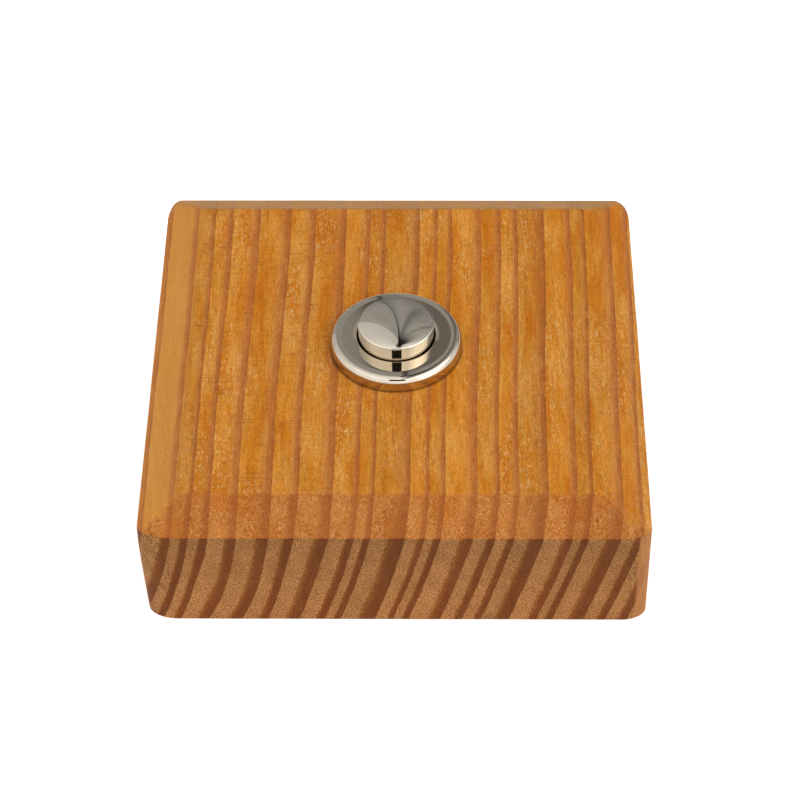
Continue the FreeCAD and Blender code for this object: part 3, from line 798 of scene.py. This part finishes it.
def block_shell(look):
    """One closed surface round the block: out along its back, up its side, over the slope and
    the face, down the bore and through the pocket to the back again."""
    section, half, face = block_section(look)
    inset, level = section[:, :1], section[:, 1:]
    mitres = np.array([look.mitre_ease] * 3 + [look.worn_mitre_ease]) * MM
    across, along = np.array(CORNERS_ACROSS) * MM, np.array(CORNERS_ALONG) * MM
    # the slope cuts an upright corner away by this share of its size for each inset
    swallowed = (1 - sqrt(0.5)) * (across + along) / 2
    left_over = np.where(level < face / 2, 1.0, np.clip(1 - inset / swallowed, 0, 1))
    outline = rounded_squares(half - inset, np.maximum(across * left_over, mitres),
                              np.maximum(along * left_over, mitres))
    # hand sanding wanders by up to the hand wobble, always inwards
    around = turns(outline.shape[1])
    wobble = (np.sin(3 * around + 1.1) * np.cos(level / (7 * MM))
              + 0.6 * np.sin(11 * around + 0.4) + 0.4 * np.sin(23 * around))
    pull = (2.0 - wobble) / 4.0 * look.hand_wobble * MM
    outline = outline * (1 - pull / half)[..., None]
    # the corner at the lower left has been knocked in, the more the nearer to the back
    knock_height, knock_start, knock_length = 16 * MM, -23 * MM, 15 * MM
    low_down = np.clip(1 - level / knock_height, 0, 1) ** 1.3
    near = np.clip((knock_start - outline[..., 1]) / knock_length, 0, 1)
    left = np.clip(-outline[..., 0] / half, 0, 1) ** 4
    outline[..., 0] += look.knocked_in * MM * low_down * near * near * (3 - 2 * near) * left
    outer = np.dstack([outline, np.broadcast_to(level, outline.shape[:2])])

    points = node_points("wood_block")
    off_axis, height = np.hypot(*(points[:, :2] - AXIS).T), points[:, 2]
    bore = off_axis[np.abs(height - face) < TOUCH].min()
    ceiling = height[off_axis < bore + 10 * TOUCH].min()
    pocket = off_axis[np.abs(height - ceiling) < TOUCH].max()
    ease = look.hole_ease * MM
    hole = eased([(bore + 2 * MM, face), (bore, face), (bore, ceiling), (pocket, ceiling),
                  (pocket, 0), (pocket + 2 * MM, 0)], [ease, ease, 0.8 * MM, ease], 6)
    hole = dense(hole, LONGEST_FACE)
    edge = outline[-1] - AXIS
    rings = about_axis(hole[:, :1], np.arctan2(edge[:, 1], edge[:, 0]), hole[:, 1:])
    share = (np.arange(1, 14) / 14)[:, None, None]
    front = outer[-1] + (rings[0] - outer[-1]) * share
    back = rings[-1] + (outer[0] - rings[-1]) * share
    rows = np.concatenate([outer, front, rings, back])
    return skin("wood_block_shell", rows, wrap_rows=True)


def keyhole_cutter(seat):
    """What a keyhole cutter takes out. One parameter runs round both its outlines: down the
    entry hole's side, round it, up the other side and over the seat. The neck is narrow up to
    the lip, and above it the undercut is as wide as the entry hole."""
    entry_radius, neck_radius, run = 4.8 * MM, 2.4 * MM, 7.0 * MM
    lip, depth, flare = 4.5 * MM, 9.3 * MM, 0.3 * MM
    entry = seat - run

    def outline(lower, upper):
        turn = asin(upper / lower)
        round_entry = np.linspace(pi / 2 - turn, turn - 3 * pi / 2, 49)
        over_seat = np.linspace(pi, 0, 25)
        side = np.linspace(entry + lower * cos(turn), seat, 8)[1:-1]
        left = np.stack([np.full_like(side, -upper), side], -1)
        return np.concatenate([
            np.stack([lower * np.cos(round_entry), entry + lower * np.sin(round_entry)], -1),
            left,
            np.stack([upper * np.cos(over_seat), seat + upper * np.sin(over_seat)], -1),
            left[::-1] * (-1, 1)])

    narrow = outline(entry_radius, neck_radius)
    wide = outline(entry_radius, entry_radius * 0.9999)
    flared = outline(entry_radius + flare, neck_radius + flare)
    middle = np.zeros_like(narrow) + (0, entry)
    rows = [(middle, -MM), (flared, -MM), (flared, 0), (narrow, flare), (narrow, lip),
            (wide, lip), (wide, depth), (middle, depth)]
    rows = np.stack([np.insert(line, 2, height, axis=1) for line, height in rows])
    return tidy_mesh(skin("keyhole_cutter", rows))


class DOORBELL_OT_block(bpy.types.Operator):
    """Makes the pine block with its slopes, bore, pocket and keyholes"""
    bl_idname = "doorbell.block"
    bl_label = "Pine block"

    def execute(self, context):
        block = tidy_mesh(block_shell(settings("block")))
        seats = [m["pos_m"][1] for m in frame["record"]["mounts"] if "keyhole" in m["name"]]
        for seat in seats:
            cutter = keyhole_cutter(seat)
            cut = block.modifiers.new("keyhole", "BOOLEAN")
            cut.object, cut.operation, cut.solver = cutter, "DIFFERENCE", "EXACT"
            modifiers_applied(block)
            bpy.data.objects.remove(cutter)
        tidy_mesh(block, 32.0)
        block.name = "pine_block"
        placed(block, "root", "pine", "wood_block", finished=oiled_pine())
        return {"FINISHED"}


# Button

# Height of the push's collar and depth of the groove under the bezel's flange
COLLAR, GROOVE = 2.4 * MM, 0.8 * MM


def bezel_profile(look):
    """Half section of the bezel and its barrel, from the lip over the face and the shoulder,
    down the outside and up the bores. Levels come from the frame's pieces."""
    low, high = node_box("bezel_body")
    face = node_box("wood_block")[1][2]
    top, end, outer = high[2], low[2], node_radius("bezel_body")
    shoulder, flat, fall = look.bezel_shoulder * MM, look.bezel_flat * MM, look.bezel_fall
    ridge = outer - shoulder * (1 - sin(fall))
    ridge_z = top - (ridge - flat) * tan(fall)
    shoulder_z = ridge_z - shoulder * cos(fall)
    hole = look.push_radius * MM + 0.2 * MM
    lip, barrel = look.lip_ease * MM, look.barrel_radius * MM
    stop = node_box("push_cap")[0][2] + COLLAR + 0.05 * MM
    guide = node_radius("push_cap") + 0.08 * MM
    spring_seat = node_box("return_spring")[0][2]
    base = node_radius("contact_base") + 0.04 * MM
    ring_low, ring_high = node_box("base_circlip")
    ring, ring_z = node_radius("base_circlip") + 0.03 * MM, ring_low[2] - 0.03 * MM
    groove, groove_z = barrel - GROOVE, face - 1.2 * MM
    upper = np.concatenate([
        arc((hole + lip, top - lip), lip, -pi / 2, 0, 6),
        np.stack([np.linspace(hole + lip, flat - 0.2 * MM, 12)[1:], np.full(11, top)], -1),
        eased([(flat - 0.2 * MM, top), (flat, top), (ridge, ridge_z)], [2.0 * MM], 9)[1:-1],
        arc((outer - shoulder, shoulder_z), shoulder, fall, pi / 2 + 0.02, 44),
        eased([(outer, face + 0.4 * MM), (outer, face), (groove, face)], [0.12 * MM], 5)[1:],
        [(groove, groove_z), (barrel, groove_z)]])
    lower = np.array([
        (barrel - 0.4 * MM, end), (base + 0.2 * MM, end), (base, end + 0.2 * MM),
        (base, ring_z), (ring, ring_z), (ring, ring_high[2]), (base, ring_high[2]),
        (base, spring_seat), (guide, spring_seat), (guide, stop), (hole, stop)])
    return upper, lower


def threaded_barrel(look, z_top, z_end):
    """Rows of the thread: the radius falls from the crest by a rounded triangle wave of the
    height in pitches less the angle in turns, and runs out at both ends."""
    crest, pitch, depth = look.barrel_radius * MM, look.thread_pitch * MM, look.thread_depth * MM
    level = np.arange(z_top, z_end, -pitch / 10)[1:, None]
    angle = turns(look.segments)
    phase = (level / pitch - angle / FULL_TURN) % 1.0
    wave = np.clip(np.abs(2 * phase - 1) * 1.3 - 0.15, 0, 1)
    run_out = (np.clip((z_top - level) / (2 * MM), 0, 1)
               * np.clip((level - z_end) / (0.8 * MM), 0, 1))
    return about_axis(crest - depth * wave * run_out, angle, level)


class DOORBELL_OT_bezel(bpy.types.Operator):
    """Makes the polished bezel with its threaded barrel, and the rubber ring under it"""
    bl_idname = "doorbell.bezel"
    bl_label = "Bezel and barrel"

    def execute(self, context):
        look = settings("metal")
        upper, lower = bezel_profile(look)
        thread = threaded_barrel(look, upper[-1][1], node_box("bezel_body")[0][2])
        rows = np.concatenate([circles(upper, look.segments), thread,
                               circles(lower, look.segments)])
        bezel = tidy_mesh(skin("bezel", rows, wrap_rows=True), 40.0)
        # the bezel's finish carries a warm film and painted reflections
        placed(bezel, "root", "polished_nickel", "bezel_body",
               finished=finish("handled_nickel_painted_reflection"))

        (_, _, low), (_, _, high) = node_box("bezel_seal")
        outside, inside = node_radius("bezel_seal"), look.barrel_radius * MM - GROOVE
        ring = eased([(inside, (low + high) / 2), (inside, low), (outside, low),
                      (outside, high), (inside, high), (inside, (low + high) / 2)],
                     [0.25 * MM] * 4, 6)[:-1]
        placed(turned("rubber_seal", ring, 128), "root", "black_rubber", "bezel_seal")
        return {"FINISHED"}


class DOORBELL_OT_push(bpy.types.Operator):
    """Makes the domed push with its collar"""
    bl_idname = "doorbell.push"
    bl_label = "Push"

    def execute(self, context):
        look = settings("metal")
        low, high = node_box("push_cap")
        collar, top, bottom = node_radius("push_cap"), high[2], low[2]
        dome, edge, radius = look.dome_radius * MM, look.push_edge * MM, look.push_radius * MM
        arris, worn_to = look.push_arris * MM, radians(52)
        centre = top - dome
        # the edge's arc is tangent to the dome and stops at worn_to, where the arris takes over
        edge_x = radius - arris - (edge - arris) * sin(worn_to)
        tilt = asin(edge_x / (dome - edge))
        edge_z = centre + (dome - edge) * cos(tilt)
        arris_z = edge_z + (edge - arris) * cos(worn_to)
        collar_top, hollow_top = bottom + COLLAR, bottom + 2 * MM
        bore_top = collar_top + 2.6 * MM
        relief, boss, bore = collar - 1.55 * MM, 3.4 * MM, 2.0 * MM
        under = eased([(radius, edge_z - MM), (radius, collar_top), (collar, collar_top),
                       (collar, bottom), (relief, bottom), (relief, hollow_top),
                       (boss, hollow_top), (boss, bottom), (bore, bottom), (bore, bore_top),
                       (0, bore_top)], [0.15 * MM] * 9, 4)
        profile = np.concatenate([
            arc((0, centre), dome, 0, tilt, 64),
            arc((edge_x, edge_z), edge, tilt, worn_to, 10)[1:],
            arc((radius - arris, arris_z), arris, worn_to, pi / 2, 5)[1:],
            under])
        push = turned("push_button", profile, look.segments)
        placed(push, "push", "polished_nickel", "push_cap")
        return {"FINISHED"}


# Fixings and switch

def flat_band(name, node, bore, ease, columns):
    """A washer that stands for the node: a flat ring with eased edges, whose bore may vary with
    the angle. Its section is walked round once from the middle of the bore."""
    (_, _, low), (_, _, high) = node_box(node)
    outer = node_radius(node)
    quarter = np.linspace(0, pi / 2, 4)
    rise, side = 1 - np.sin(quarter), 1 - np.cos(quarter)
    corners = ((bore, 1, low, 1, side, rise), (outer, -1, low, 1, rise, side),
               (outer, -1, high, -1, side, rise), (bore, 1, high, -1, rise, side))
    rows = [about_axis(radius + inward * ease * a, turns(columns), level + upward * ease * b)
            for radius, inward, level, upward, first, second in corners
            for a, b in zip(first, second)]
    band = tidy_mesh(skin(name, np.stack(rows), wrap_rows=True), 40.0)
    placed(band, "root", "zinc_steel", node)


def notched_bore(bore, teeth, depth, columns):
    """A bore with round notches between its teeth: its radius is the way out of the circle of
    each notch, where that reaches past the bore."""
    notch = pi * bore / teeth / 2
    middle = bore + depth - notch
    off = ((np.arange(columns) * teeth / columns + 0.5) % 1.0 - 0.5) * FULL_TURN / teeth
    reach = np.maximum(notch ** 2 - (middle * np.sin(off)) ** 2, 0)
    return np.where(reach > 0, np.maximum(middle * np.cos(off) + np.sqrt(reach), bore), bore)


def hexagon_nut(look):
    """Six flats: the outside is the flat's distance over the cosine of the angle from the middle
    of its flat, and no further out than the cone of the chamfer."""
    (_, back, low), (_, front, high) = node_box("barrel_nut")
    flat, bore = (front - back) / 2, look.barrel_radius * MM
    chamfer, entry, blunted = 0.9 * MM, 0.5 * MM, 0.25 * MM
    angle = turns(360)
    corner = flat / np.cos(angle % (pi / 3) - pi / 6)
    corner = np.minimum(corner, flat / cos(pi / 6) - blunted)
    rise = chamfer * np.linspace(0, 1, 10)
    heights = np.concatenate([low + rise, high - rise[::-1]])
    cone = np.minimum(heights - low, high - heights)
    outside = np.minimum(corner, (flat + 2 * cone)[:, None])
    rim = np.full((1, len(angle)), bore + entry)
    inside = np.full((2, len(angle)), bore)
    radii = np.concatenate([rim, outside, rim, inside])
    levels = np.concatenate([[low], heights, [high, high - entry, low + entry]])[:, None]
    return skin("barrel_nut_hex", about_axis(radii, angle, levels), wrap_rows=True)


class DOORBELL_OT_fixings(bpy.types.Operator):
    """Makes the washers and the nut that clamp the barrel in the block"""
    bl_idname = "doorbell.fixings"
    bl_label = "Washers and nut"

    def execute(self, context):
        look = settings("metal")
        bore = (look.barrel_radius + 0.15) * MM
        flat_band("flat_washer_plate", "flat_washer", bore, 0.15 * MM, 160)
        notched = notched_bore(bore, teeth=12, depth=1.1 * MM, columns=288)
        flat_band("lock_washer_toothed", "lock_washer", notched, 0.10 * MM, 288)
        placed(tidy_mesh(hexagon_nut(look), 25.0), "root", "nickel_brass", "barrel_nut")
        return {"FINISHED"}


def eased_copy(node, name, ease, slot, body="root"):
    """A copy of a node with its loose triangles merged, its flats made whole and its edges
    eased."""
    piece = frame["nodes"][node].copy()
    piece.data = piece.data.copy()
    piece.name = piece.data.name = name
    piece.parent = None
    piece.matrix_world = Matrix.Identity(4)
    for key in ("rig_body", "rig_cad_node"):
        del piece[key]
    bpy.context.scene.collection.objects.link(piece)
    piece.data.materials.clear()
    shape = bmesh.new()
    shape.from_mesh(piece.data)
    bmesh.ops.remove_doubles(shape, verts=shape.verts, dist=TOUCH / 10)
    bmesh.ops.dissolve_limit(shape, angle_limit=radians(1.0), verts=shape.verts,
                             edges=shape.edges)
    shape.to_mesh(piece.data)
    shape.free()
    bevel = piece.modifiers.new("ease", "BEVEL")
    bevel.width, bevel.segments = ease * MM, 3
    bevel.limit_method, bevel.angle_limit = "ANGLE", radians(32)
    bevel.harden_normals = False
    placed(tidy_mesh(modifiers_applied(piece), 40.0), body, slot, node)


class DOORBELL_OT_switch(bpy.types.Operator):
    """Makes the contact base, the contacts, clamps and screws, the stem, disc and clips"""
    bl_idname = "doorbell.switch"
    bl_label = "Switch"

    def execute(self, context):
        eased_copy("contact_base", "moulded_base", 0.12, "black_moulding")
        eased_copy("base_circlip", "base_ring", 0.08, "spring_steel")
        eased_copy("plunger_stem", "insulating_stem", 0.08, "white_moulding", "push")
        eased_copy("contact_bridge", "contact_disc", 0.05, "contact_brass", "push")
        eased_copy("bridge_clip", "disc_clip", 0.05, "spring_steel", "push")
        for side in ("left", "right"):
            for node, name, ease, slot in (
                    ("fixed_contact_", "contact_strip_", 0.06, "contact_brass"),
                    ("contact_tip_", "tip_rivet_", 0.05, "silver_tip"),
                    ("wire_clamp_", "clamp_plate_", 0.08, "zinc_steel"),
                    ("terminal_screw_", "slotted_screw_", 0.10, "contact_brass")):
                eased_copy(node + side, name + side, ease, slot)
        return {"FINISHED"}


class DOORBELL_OT_spring(bpy.types.Operator):
    """Makes the return spring"""
    bl_idname = "doorbell.spring"
    bl_label = "Return spring"

    def execute(self, context):
        low, high = node_box("return_spring")
        wire, coils = 0.3 * MM, 5
        bottom, top = low[2] + wire, high[2] - wire
        share = np.linspace(0, 1, coils * 48 + 1)[:, None]
        around = turns(14)
        # a circle in the plane of the axis and the outward direction, carried along the coil
        rows = about_axis(node_radius("return_spring") - wire + wire * np.cos(around),
                          share * coils * FULL_TURN,
                          bottom + (top - bottom) * share + wire * np.sin(around))
        ends = [np.broadcast_to(rows[i].mean(0), (1, *rows[i].shape)) for i in (0, -1)]
        spring = tidy_mesh(skin("coil_spring", np.concatenate([ends[0], rows, ends[1]])), 60.0)
        placed(spring, "root", "spring_steel", "return_spring")
        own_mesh(spring)
        return {"FINISHED"}


# Studio

# Light of the tent seen round its tip. An angle runs from the front (-180) over the left, the
# back (0) and the right to the front again, in degrees. PANELS is how bright the cloth is there,
# and FOLDS what its hanging folds take away.
PANELS = ((-180, 0.95), (-160, 0.85), (-140, 0.88), (-100, 0.82), (-87, 0.77), (-77, 0.67),
          (-70, 0.64), (-62, 0.59), (-54, 0.56), (-44, 0.53), (-30, 0.50), (0, 0.50), (12, 0.46),
          (24, 0.38), (36, 0.34), (42, 0.33), (47.6, 0.37), (54, 0.45), (62.5, 0.60), (72, 0.71),
          (84, 0.68), (108, 1.00), (125, 1.31), (138, 1.36), (149, 0.96), (168, 0.98), (180, 0.95))
FOLDS = ((-180, 1.0), (-33, 1.0), (-31.2, 0.68), (-27, 0.64), (-23, 0.585), (-18, 0.56), (-9, 0.56),
         (-5.4, 0.53), (-4.6, 0.42), (-2.2, 0.42), (0, 0.54), (4, 0.58), (8, 0.52), (10.5, 0.36),
         (12.5, 0.33), (15, 0.43), (20, 0.59), (26, 0.74), (34, 0.82), (37, 0.50), (39.5, 0.80),
         (44, 1.0), (180, 1.0))


# Where the tent's tip stands on a level sheet at height one, and the opening for the camera:
# degrees from the front to the right and up, and half its width and height
TIP = (0.0477, 0.0937)
OPENING_TURN, OPENING_RISE = 2.3, 44.5
OPENING_WIDTH, OPENING_HEIGHT, OPENING_EDGE = 14.8, 10.7, 0.4


def tent_light(name):
    """Brightness of the tent in a direction. The direction is cast onto a level sheet overhead
    and measured from the tent's tip: the angle round the tip, opened out a little with distance
    as the folds hang, picks the panel. Near the tip the cloth behind is gathered and dark."""
    group, t, entry, leave = effect(name, ["Direction"], [], ["Light"])
    x, y, z = t.parts(entry["Direction"])
    rise = t.most(z, 0.03)
    across, along = t.less(t.over(x, rise), TIP[0]), t.less(t.over(y, rise), TIP[1])
    far = t.math("SQRT", t.plus(t.times(across, across), t.times(along, along)))
    away = t.math("LOGARITHM", t.most(far, 0.01), np.e)
    turn = t.math("ARCTAN2", across, along)
    bend = t.times(away, t.line(away, -0.15, 1.0))

    def by_degrees(angle, low, high, start=0.0, end=1.0):
        return t.spread(angle, radians(low), radians(high), start, end)

    swept = t.times(by_degrees(turn, 0.0, 9.0, radians(2.3), 0.0), by_degrees(turn, -60.0, -30.0))
    opened = t.over(t.line(swept, bend, turn), t.most(t.line(bend, 0.23, 1.0), 0.5))

    def round_the_tip(angle, stops):
        share = t.line(angle, 1 / FULL_TURN, 0.5, clamp=True)
        return t.ramp(share, [(at / 360 + 0.5, light) for at, light in stops])

    folds = round_the_tip(opened, FOLDS)
    # low at the back on the right the folds flatten out, and fine creases cross them
    flatter = t.times(t.spread(away, 0.5, 1.5), t.spread(turn, 0.03, 0.09),
                      t.fade(turn, 0.50, 0.62))
    folds = t.plus(t.times(folds, t.rest(flatter)), t.times(flatter, 0.50))
    crease = t.swing(t.joined(t.times(turn, 5.0), t.times(away, 3.2)), (1.0, 1.0, 1.0),
                     3.0, 0.6, 1.6)
    creased = t.times(t.spread(turn, 0.15, 0.30), t.fade(turn, 0.60, 0.72), crease)
    # one seam is a thin dark line that keeps its width
    half_width = t.plus(t.over(radians(0.40), t.times(far, far)), radians(0.22))
    seam = t.fade(t.over(t.off(opened, radians(-4.4)), half_width), 0.3, 1.25, 0.72)
    folds = t.times(folds, t.line(creased, 0.9, 1.0), t.rest(seam))
    # a ramp takes nothing past one, so the panels are divided by the brightest
    brightest = max(light for _, light in PANELS)
    cloth = round_the_tip(turn, [(at, light / brightest) for at, light in PANELS])

    behind = t.times(t.spread(turn, -0.12, -0.05), t.fade(turn, 0.85, 1.25),
                     t.fade(away, -2.05, -0.5, 0.94))
    right_front = t.times(t.spread(turn, 1.25, 1.45), t.fade(away, -2.0, -1.2, 0.26))
    low_back = t.times(t.fade(t.size(turn), 0.9, 1.7), t.spread(away, 0.5, 4.2, 0.0, 0.52))
    light = t.times(folds, cloth, brightest, t.rest(behind), t.rest(right_front),
                    t.rest(low_back), t.spread(away, -3.45, -2.45, 0.28, 1.0))

    # half way up, a strip of the cloth is lit from outside, mostly on the right
    right = t.times(by_degrees(turn, 65.0, 84.0), by_degrees(turn, 86.0, 152.0, 1.85, 0.0))
    strip = t.times(t.fade(t.size(away), 0.15, 0.50),
                    t.most(right, by_degrees(t.size(turn), 84.0, 114.0, 0.0, 0.24)))

    # the camera stands in an opening at the front, and the light from below is even
    wide = t.off(t.math("ARCTAN2", x, t.times(y, -1.0)), radians(OPENING_TURN))
    tall = t.off(t.math("ARCSINE", z), radians(OPENING_RISE))
    opening = t.times(*(by_degrees(off, reach - OPENING_EDGE, reach + OPENING_EDGE, 1.0, 0.0)
                        for off, reach in ((wide, OPENING_WIDTH), (tall, OPENING_HEIGHT))))
    above = t.spread(z, -0.02, 0.02)
    light = t.times(light, t.plus(strip, 1.0), t.line(opening, -0.985, 1.0), above)
    t.fill(leave, Light=t.plus(light, t.line(above, -0.7, 0.7)))
    return group


def seen_directly(t, *kinds):
    """1 for rays from the camera, through glass or of the kinds named, and 0 for the rest."""
    path = t.add("LightPath").outputs
    return t.most(*(path["Is %s Ray" % kind] for kind in ("Camera", "Transmission", *kinds)))


def studio_world(look):
    """The tent as the world's light. The camera sees plain white."""
    world = bpy.data.worlds.new("light_tent")
    world.use_nodes = True
    world.node_tree.nodes.clear()
    t = Tree(world.node_tree)
    tent = t.group(shared("tent_light", tent_light),
                   Direction=t.add("TexCoord").outputs["Generated"])
    white = (1.0, 1.0, 1.0)
    lit = t.add("Background", {"Color": white, "Strength": t.times(tent["Light"], look.light)})
    plain = t.add("Background", {"Color": white, "Strength": 1.0})
    mixed = t.add("MixShader", {0: seen_directly(t), 1: lit.outputs[0], 2: plain.outputs[0]})
    t.add("OutputWorld", {"Surface": mixed.outputs[0]})
    bpy.context.scene.world = world


def floor_material(look):
    """Pale matt floor. The camera and the metal see it a little lighter, and shadows stay."""
    material, t, shader, place = new_material("pale_floor")
    speckle = t.spread(t.noise(place, (0.05, 0.05, 0.05)), 0.3, 0.7)
    t.fill(shader.inputs, Base_Color=t.mix(speckle, [0.99 * part for part in look.floor],
                                           look.floor),
           Roughness=0.9, Specular_IOR_Level=0.1)
    glow = t.add("Emission", {"Color": (1.0, 1.0, 1.0),
                              "Strength": t.times(seen_directly(t, "Glossy"), 0.5)})
    both = t.add("AddShader", {0: shader.outputs[0], 1: glow.outputs[0]})
    t.put(material.node_tree.nodes["Material Output"].inputs["Surface"], both.outputs[0])
    return material


def studio_camera(look):
    """Looks at the aim point from the distance, turned by yaw, pitch and roll. The camera's axes
    are right, up and backwards."""
    camera = bpy.data.cameras.new("camera")
    camera.sensor_width, camera.lens = 36.0, look.lens
    camera.clip_start, camera.clip_end = 0.02, 20.0
    yaw, pitch, roll = look.yaw, look.pitch, look.roll
    forward = Vector((-sin(yaw) * cos(pitch), cos(yaw) * cos(pitch), -sin(pitch)))
    level = Vector((cos(yaw), sin(yaw), 0))
    down = forward.cross(level)
    right = level * cos(roll) + down * sin(roll)
    up = level * sin(roll) - down * cos(roll)
    place = Vector((look.aim[0], look.aim[1], 0)) * MM - forward * look.distance * MM
    obj = bpy.data.objects.new("camera", camera)
    turn = Matrix((right, up, -forward)).transposed().to_4x4()
    obj.matrix_world = Matrix.Translation(place) @ turn
    bpy.context.scene.collection.objects.link(obj)
    bpy.context.scene.camera = obj


class DOORBELL_OT_stage(bpy.types.Operator):
    """Sets up the floor, the tent's light and the camera"""
    bl_idname = "doorbell.stage"
    bl_label = "Studio"

    def execute(self, context):
        look = settings("studio")
        reach = np.linspace(-2.0, 2.0, 9)
        # the floor lies just below the block's back
        across, along, level = np.meshgrid(reach, reach, -0.02 * MM)
        floor = skin("floor", np.dstack([across, along, level]), wrap_columns=False)
        floor.data.materials.append(floor_material(look))
        studio_world(look)
        studio_camera(look)
        context.scene.view_settings.view_transform = "Standard"
        return {"FINISHED"}


class DOORBELL_PT_panel(bpy.types.Panel):
    """Lists the steps and settings of the doorbell button"""
    bl_idname = "DOORBELL_PT_panel"
    bl_label = "Doorbell Button"
    bl_space_type = "VIEW_3D"
    bl_region_type = "UI"
    bl_category = "Doorbell"

    def draw(self, context):
        for operator in STEPS:
            self.layout.operator(operator.bl_idname)
        for group in GROUPS:
            box = self.layout.box()
            owner = getattr(context.scene, group)
            for name in owner.bl_rna.properties.keys():
                if name not in ("rna_type", "name"):
                    box.prop(owner, name)


STEPS = (DOORBELL_OT_stage, DOORBELL_OT_block, DOORBELL_OT_bezel, DOORBELL_OT_push,
         DOORBELL_OT_fixings, DOORBELL_OT_switch, DOORBELL_OT_spring)
GROUPS = {"doorbell_block": BlockSettings, "doorbell_metal": MetalSettings,
          "doorbell_studio": StudioSettings}


def register():
    for name, group in GROUPS.items():
        bpy.utils.register_class(group)
        setattr(bpy.types.Scene, name, PointerProperty(type=group))
    for operator in STEPS:
        bpy.utils.register_class(operator)
    bpy.utils.register_class(DOORBELL_PT_panel)


def unregister():
    bpy.utils.unregister_class(DOORBELL_PT_panel)
    for operator in reversed(STEPS):
        bpy.utils.unregister_class(operator)
    for name, group in GROUPS.items():
        delattr(bpy.types.Scene, name)
        bpy.utils.unregister_class(group)


def main():
    """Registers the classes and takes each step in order."""
    register()
    bpy.ops.doorbell.stage()
    bpy.ops.doorbell.block()
    bpy.ops.doorbell.bezel()
    bpy.ops.doorbell.push()
    bpy.ops.doorbell.fixings()
    bpy.ops.doorbell.switch()
    bpy.ops.doorbell.spring()


if __name__ == "__main__":
    main()
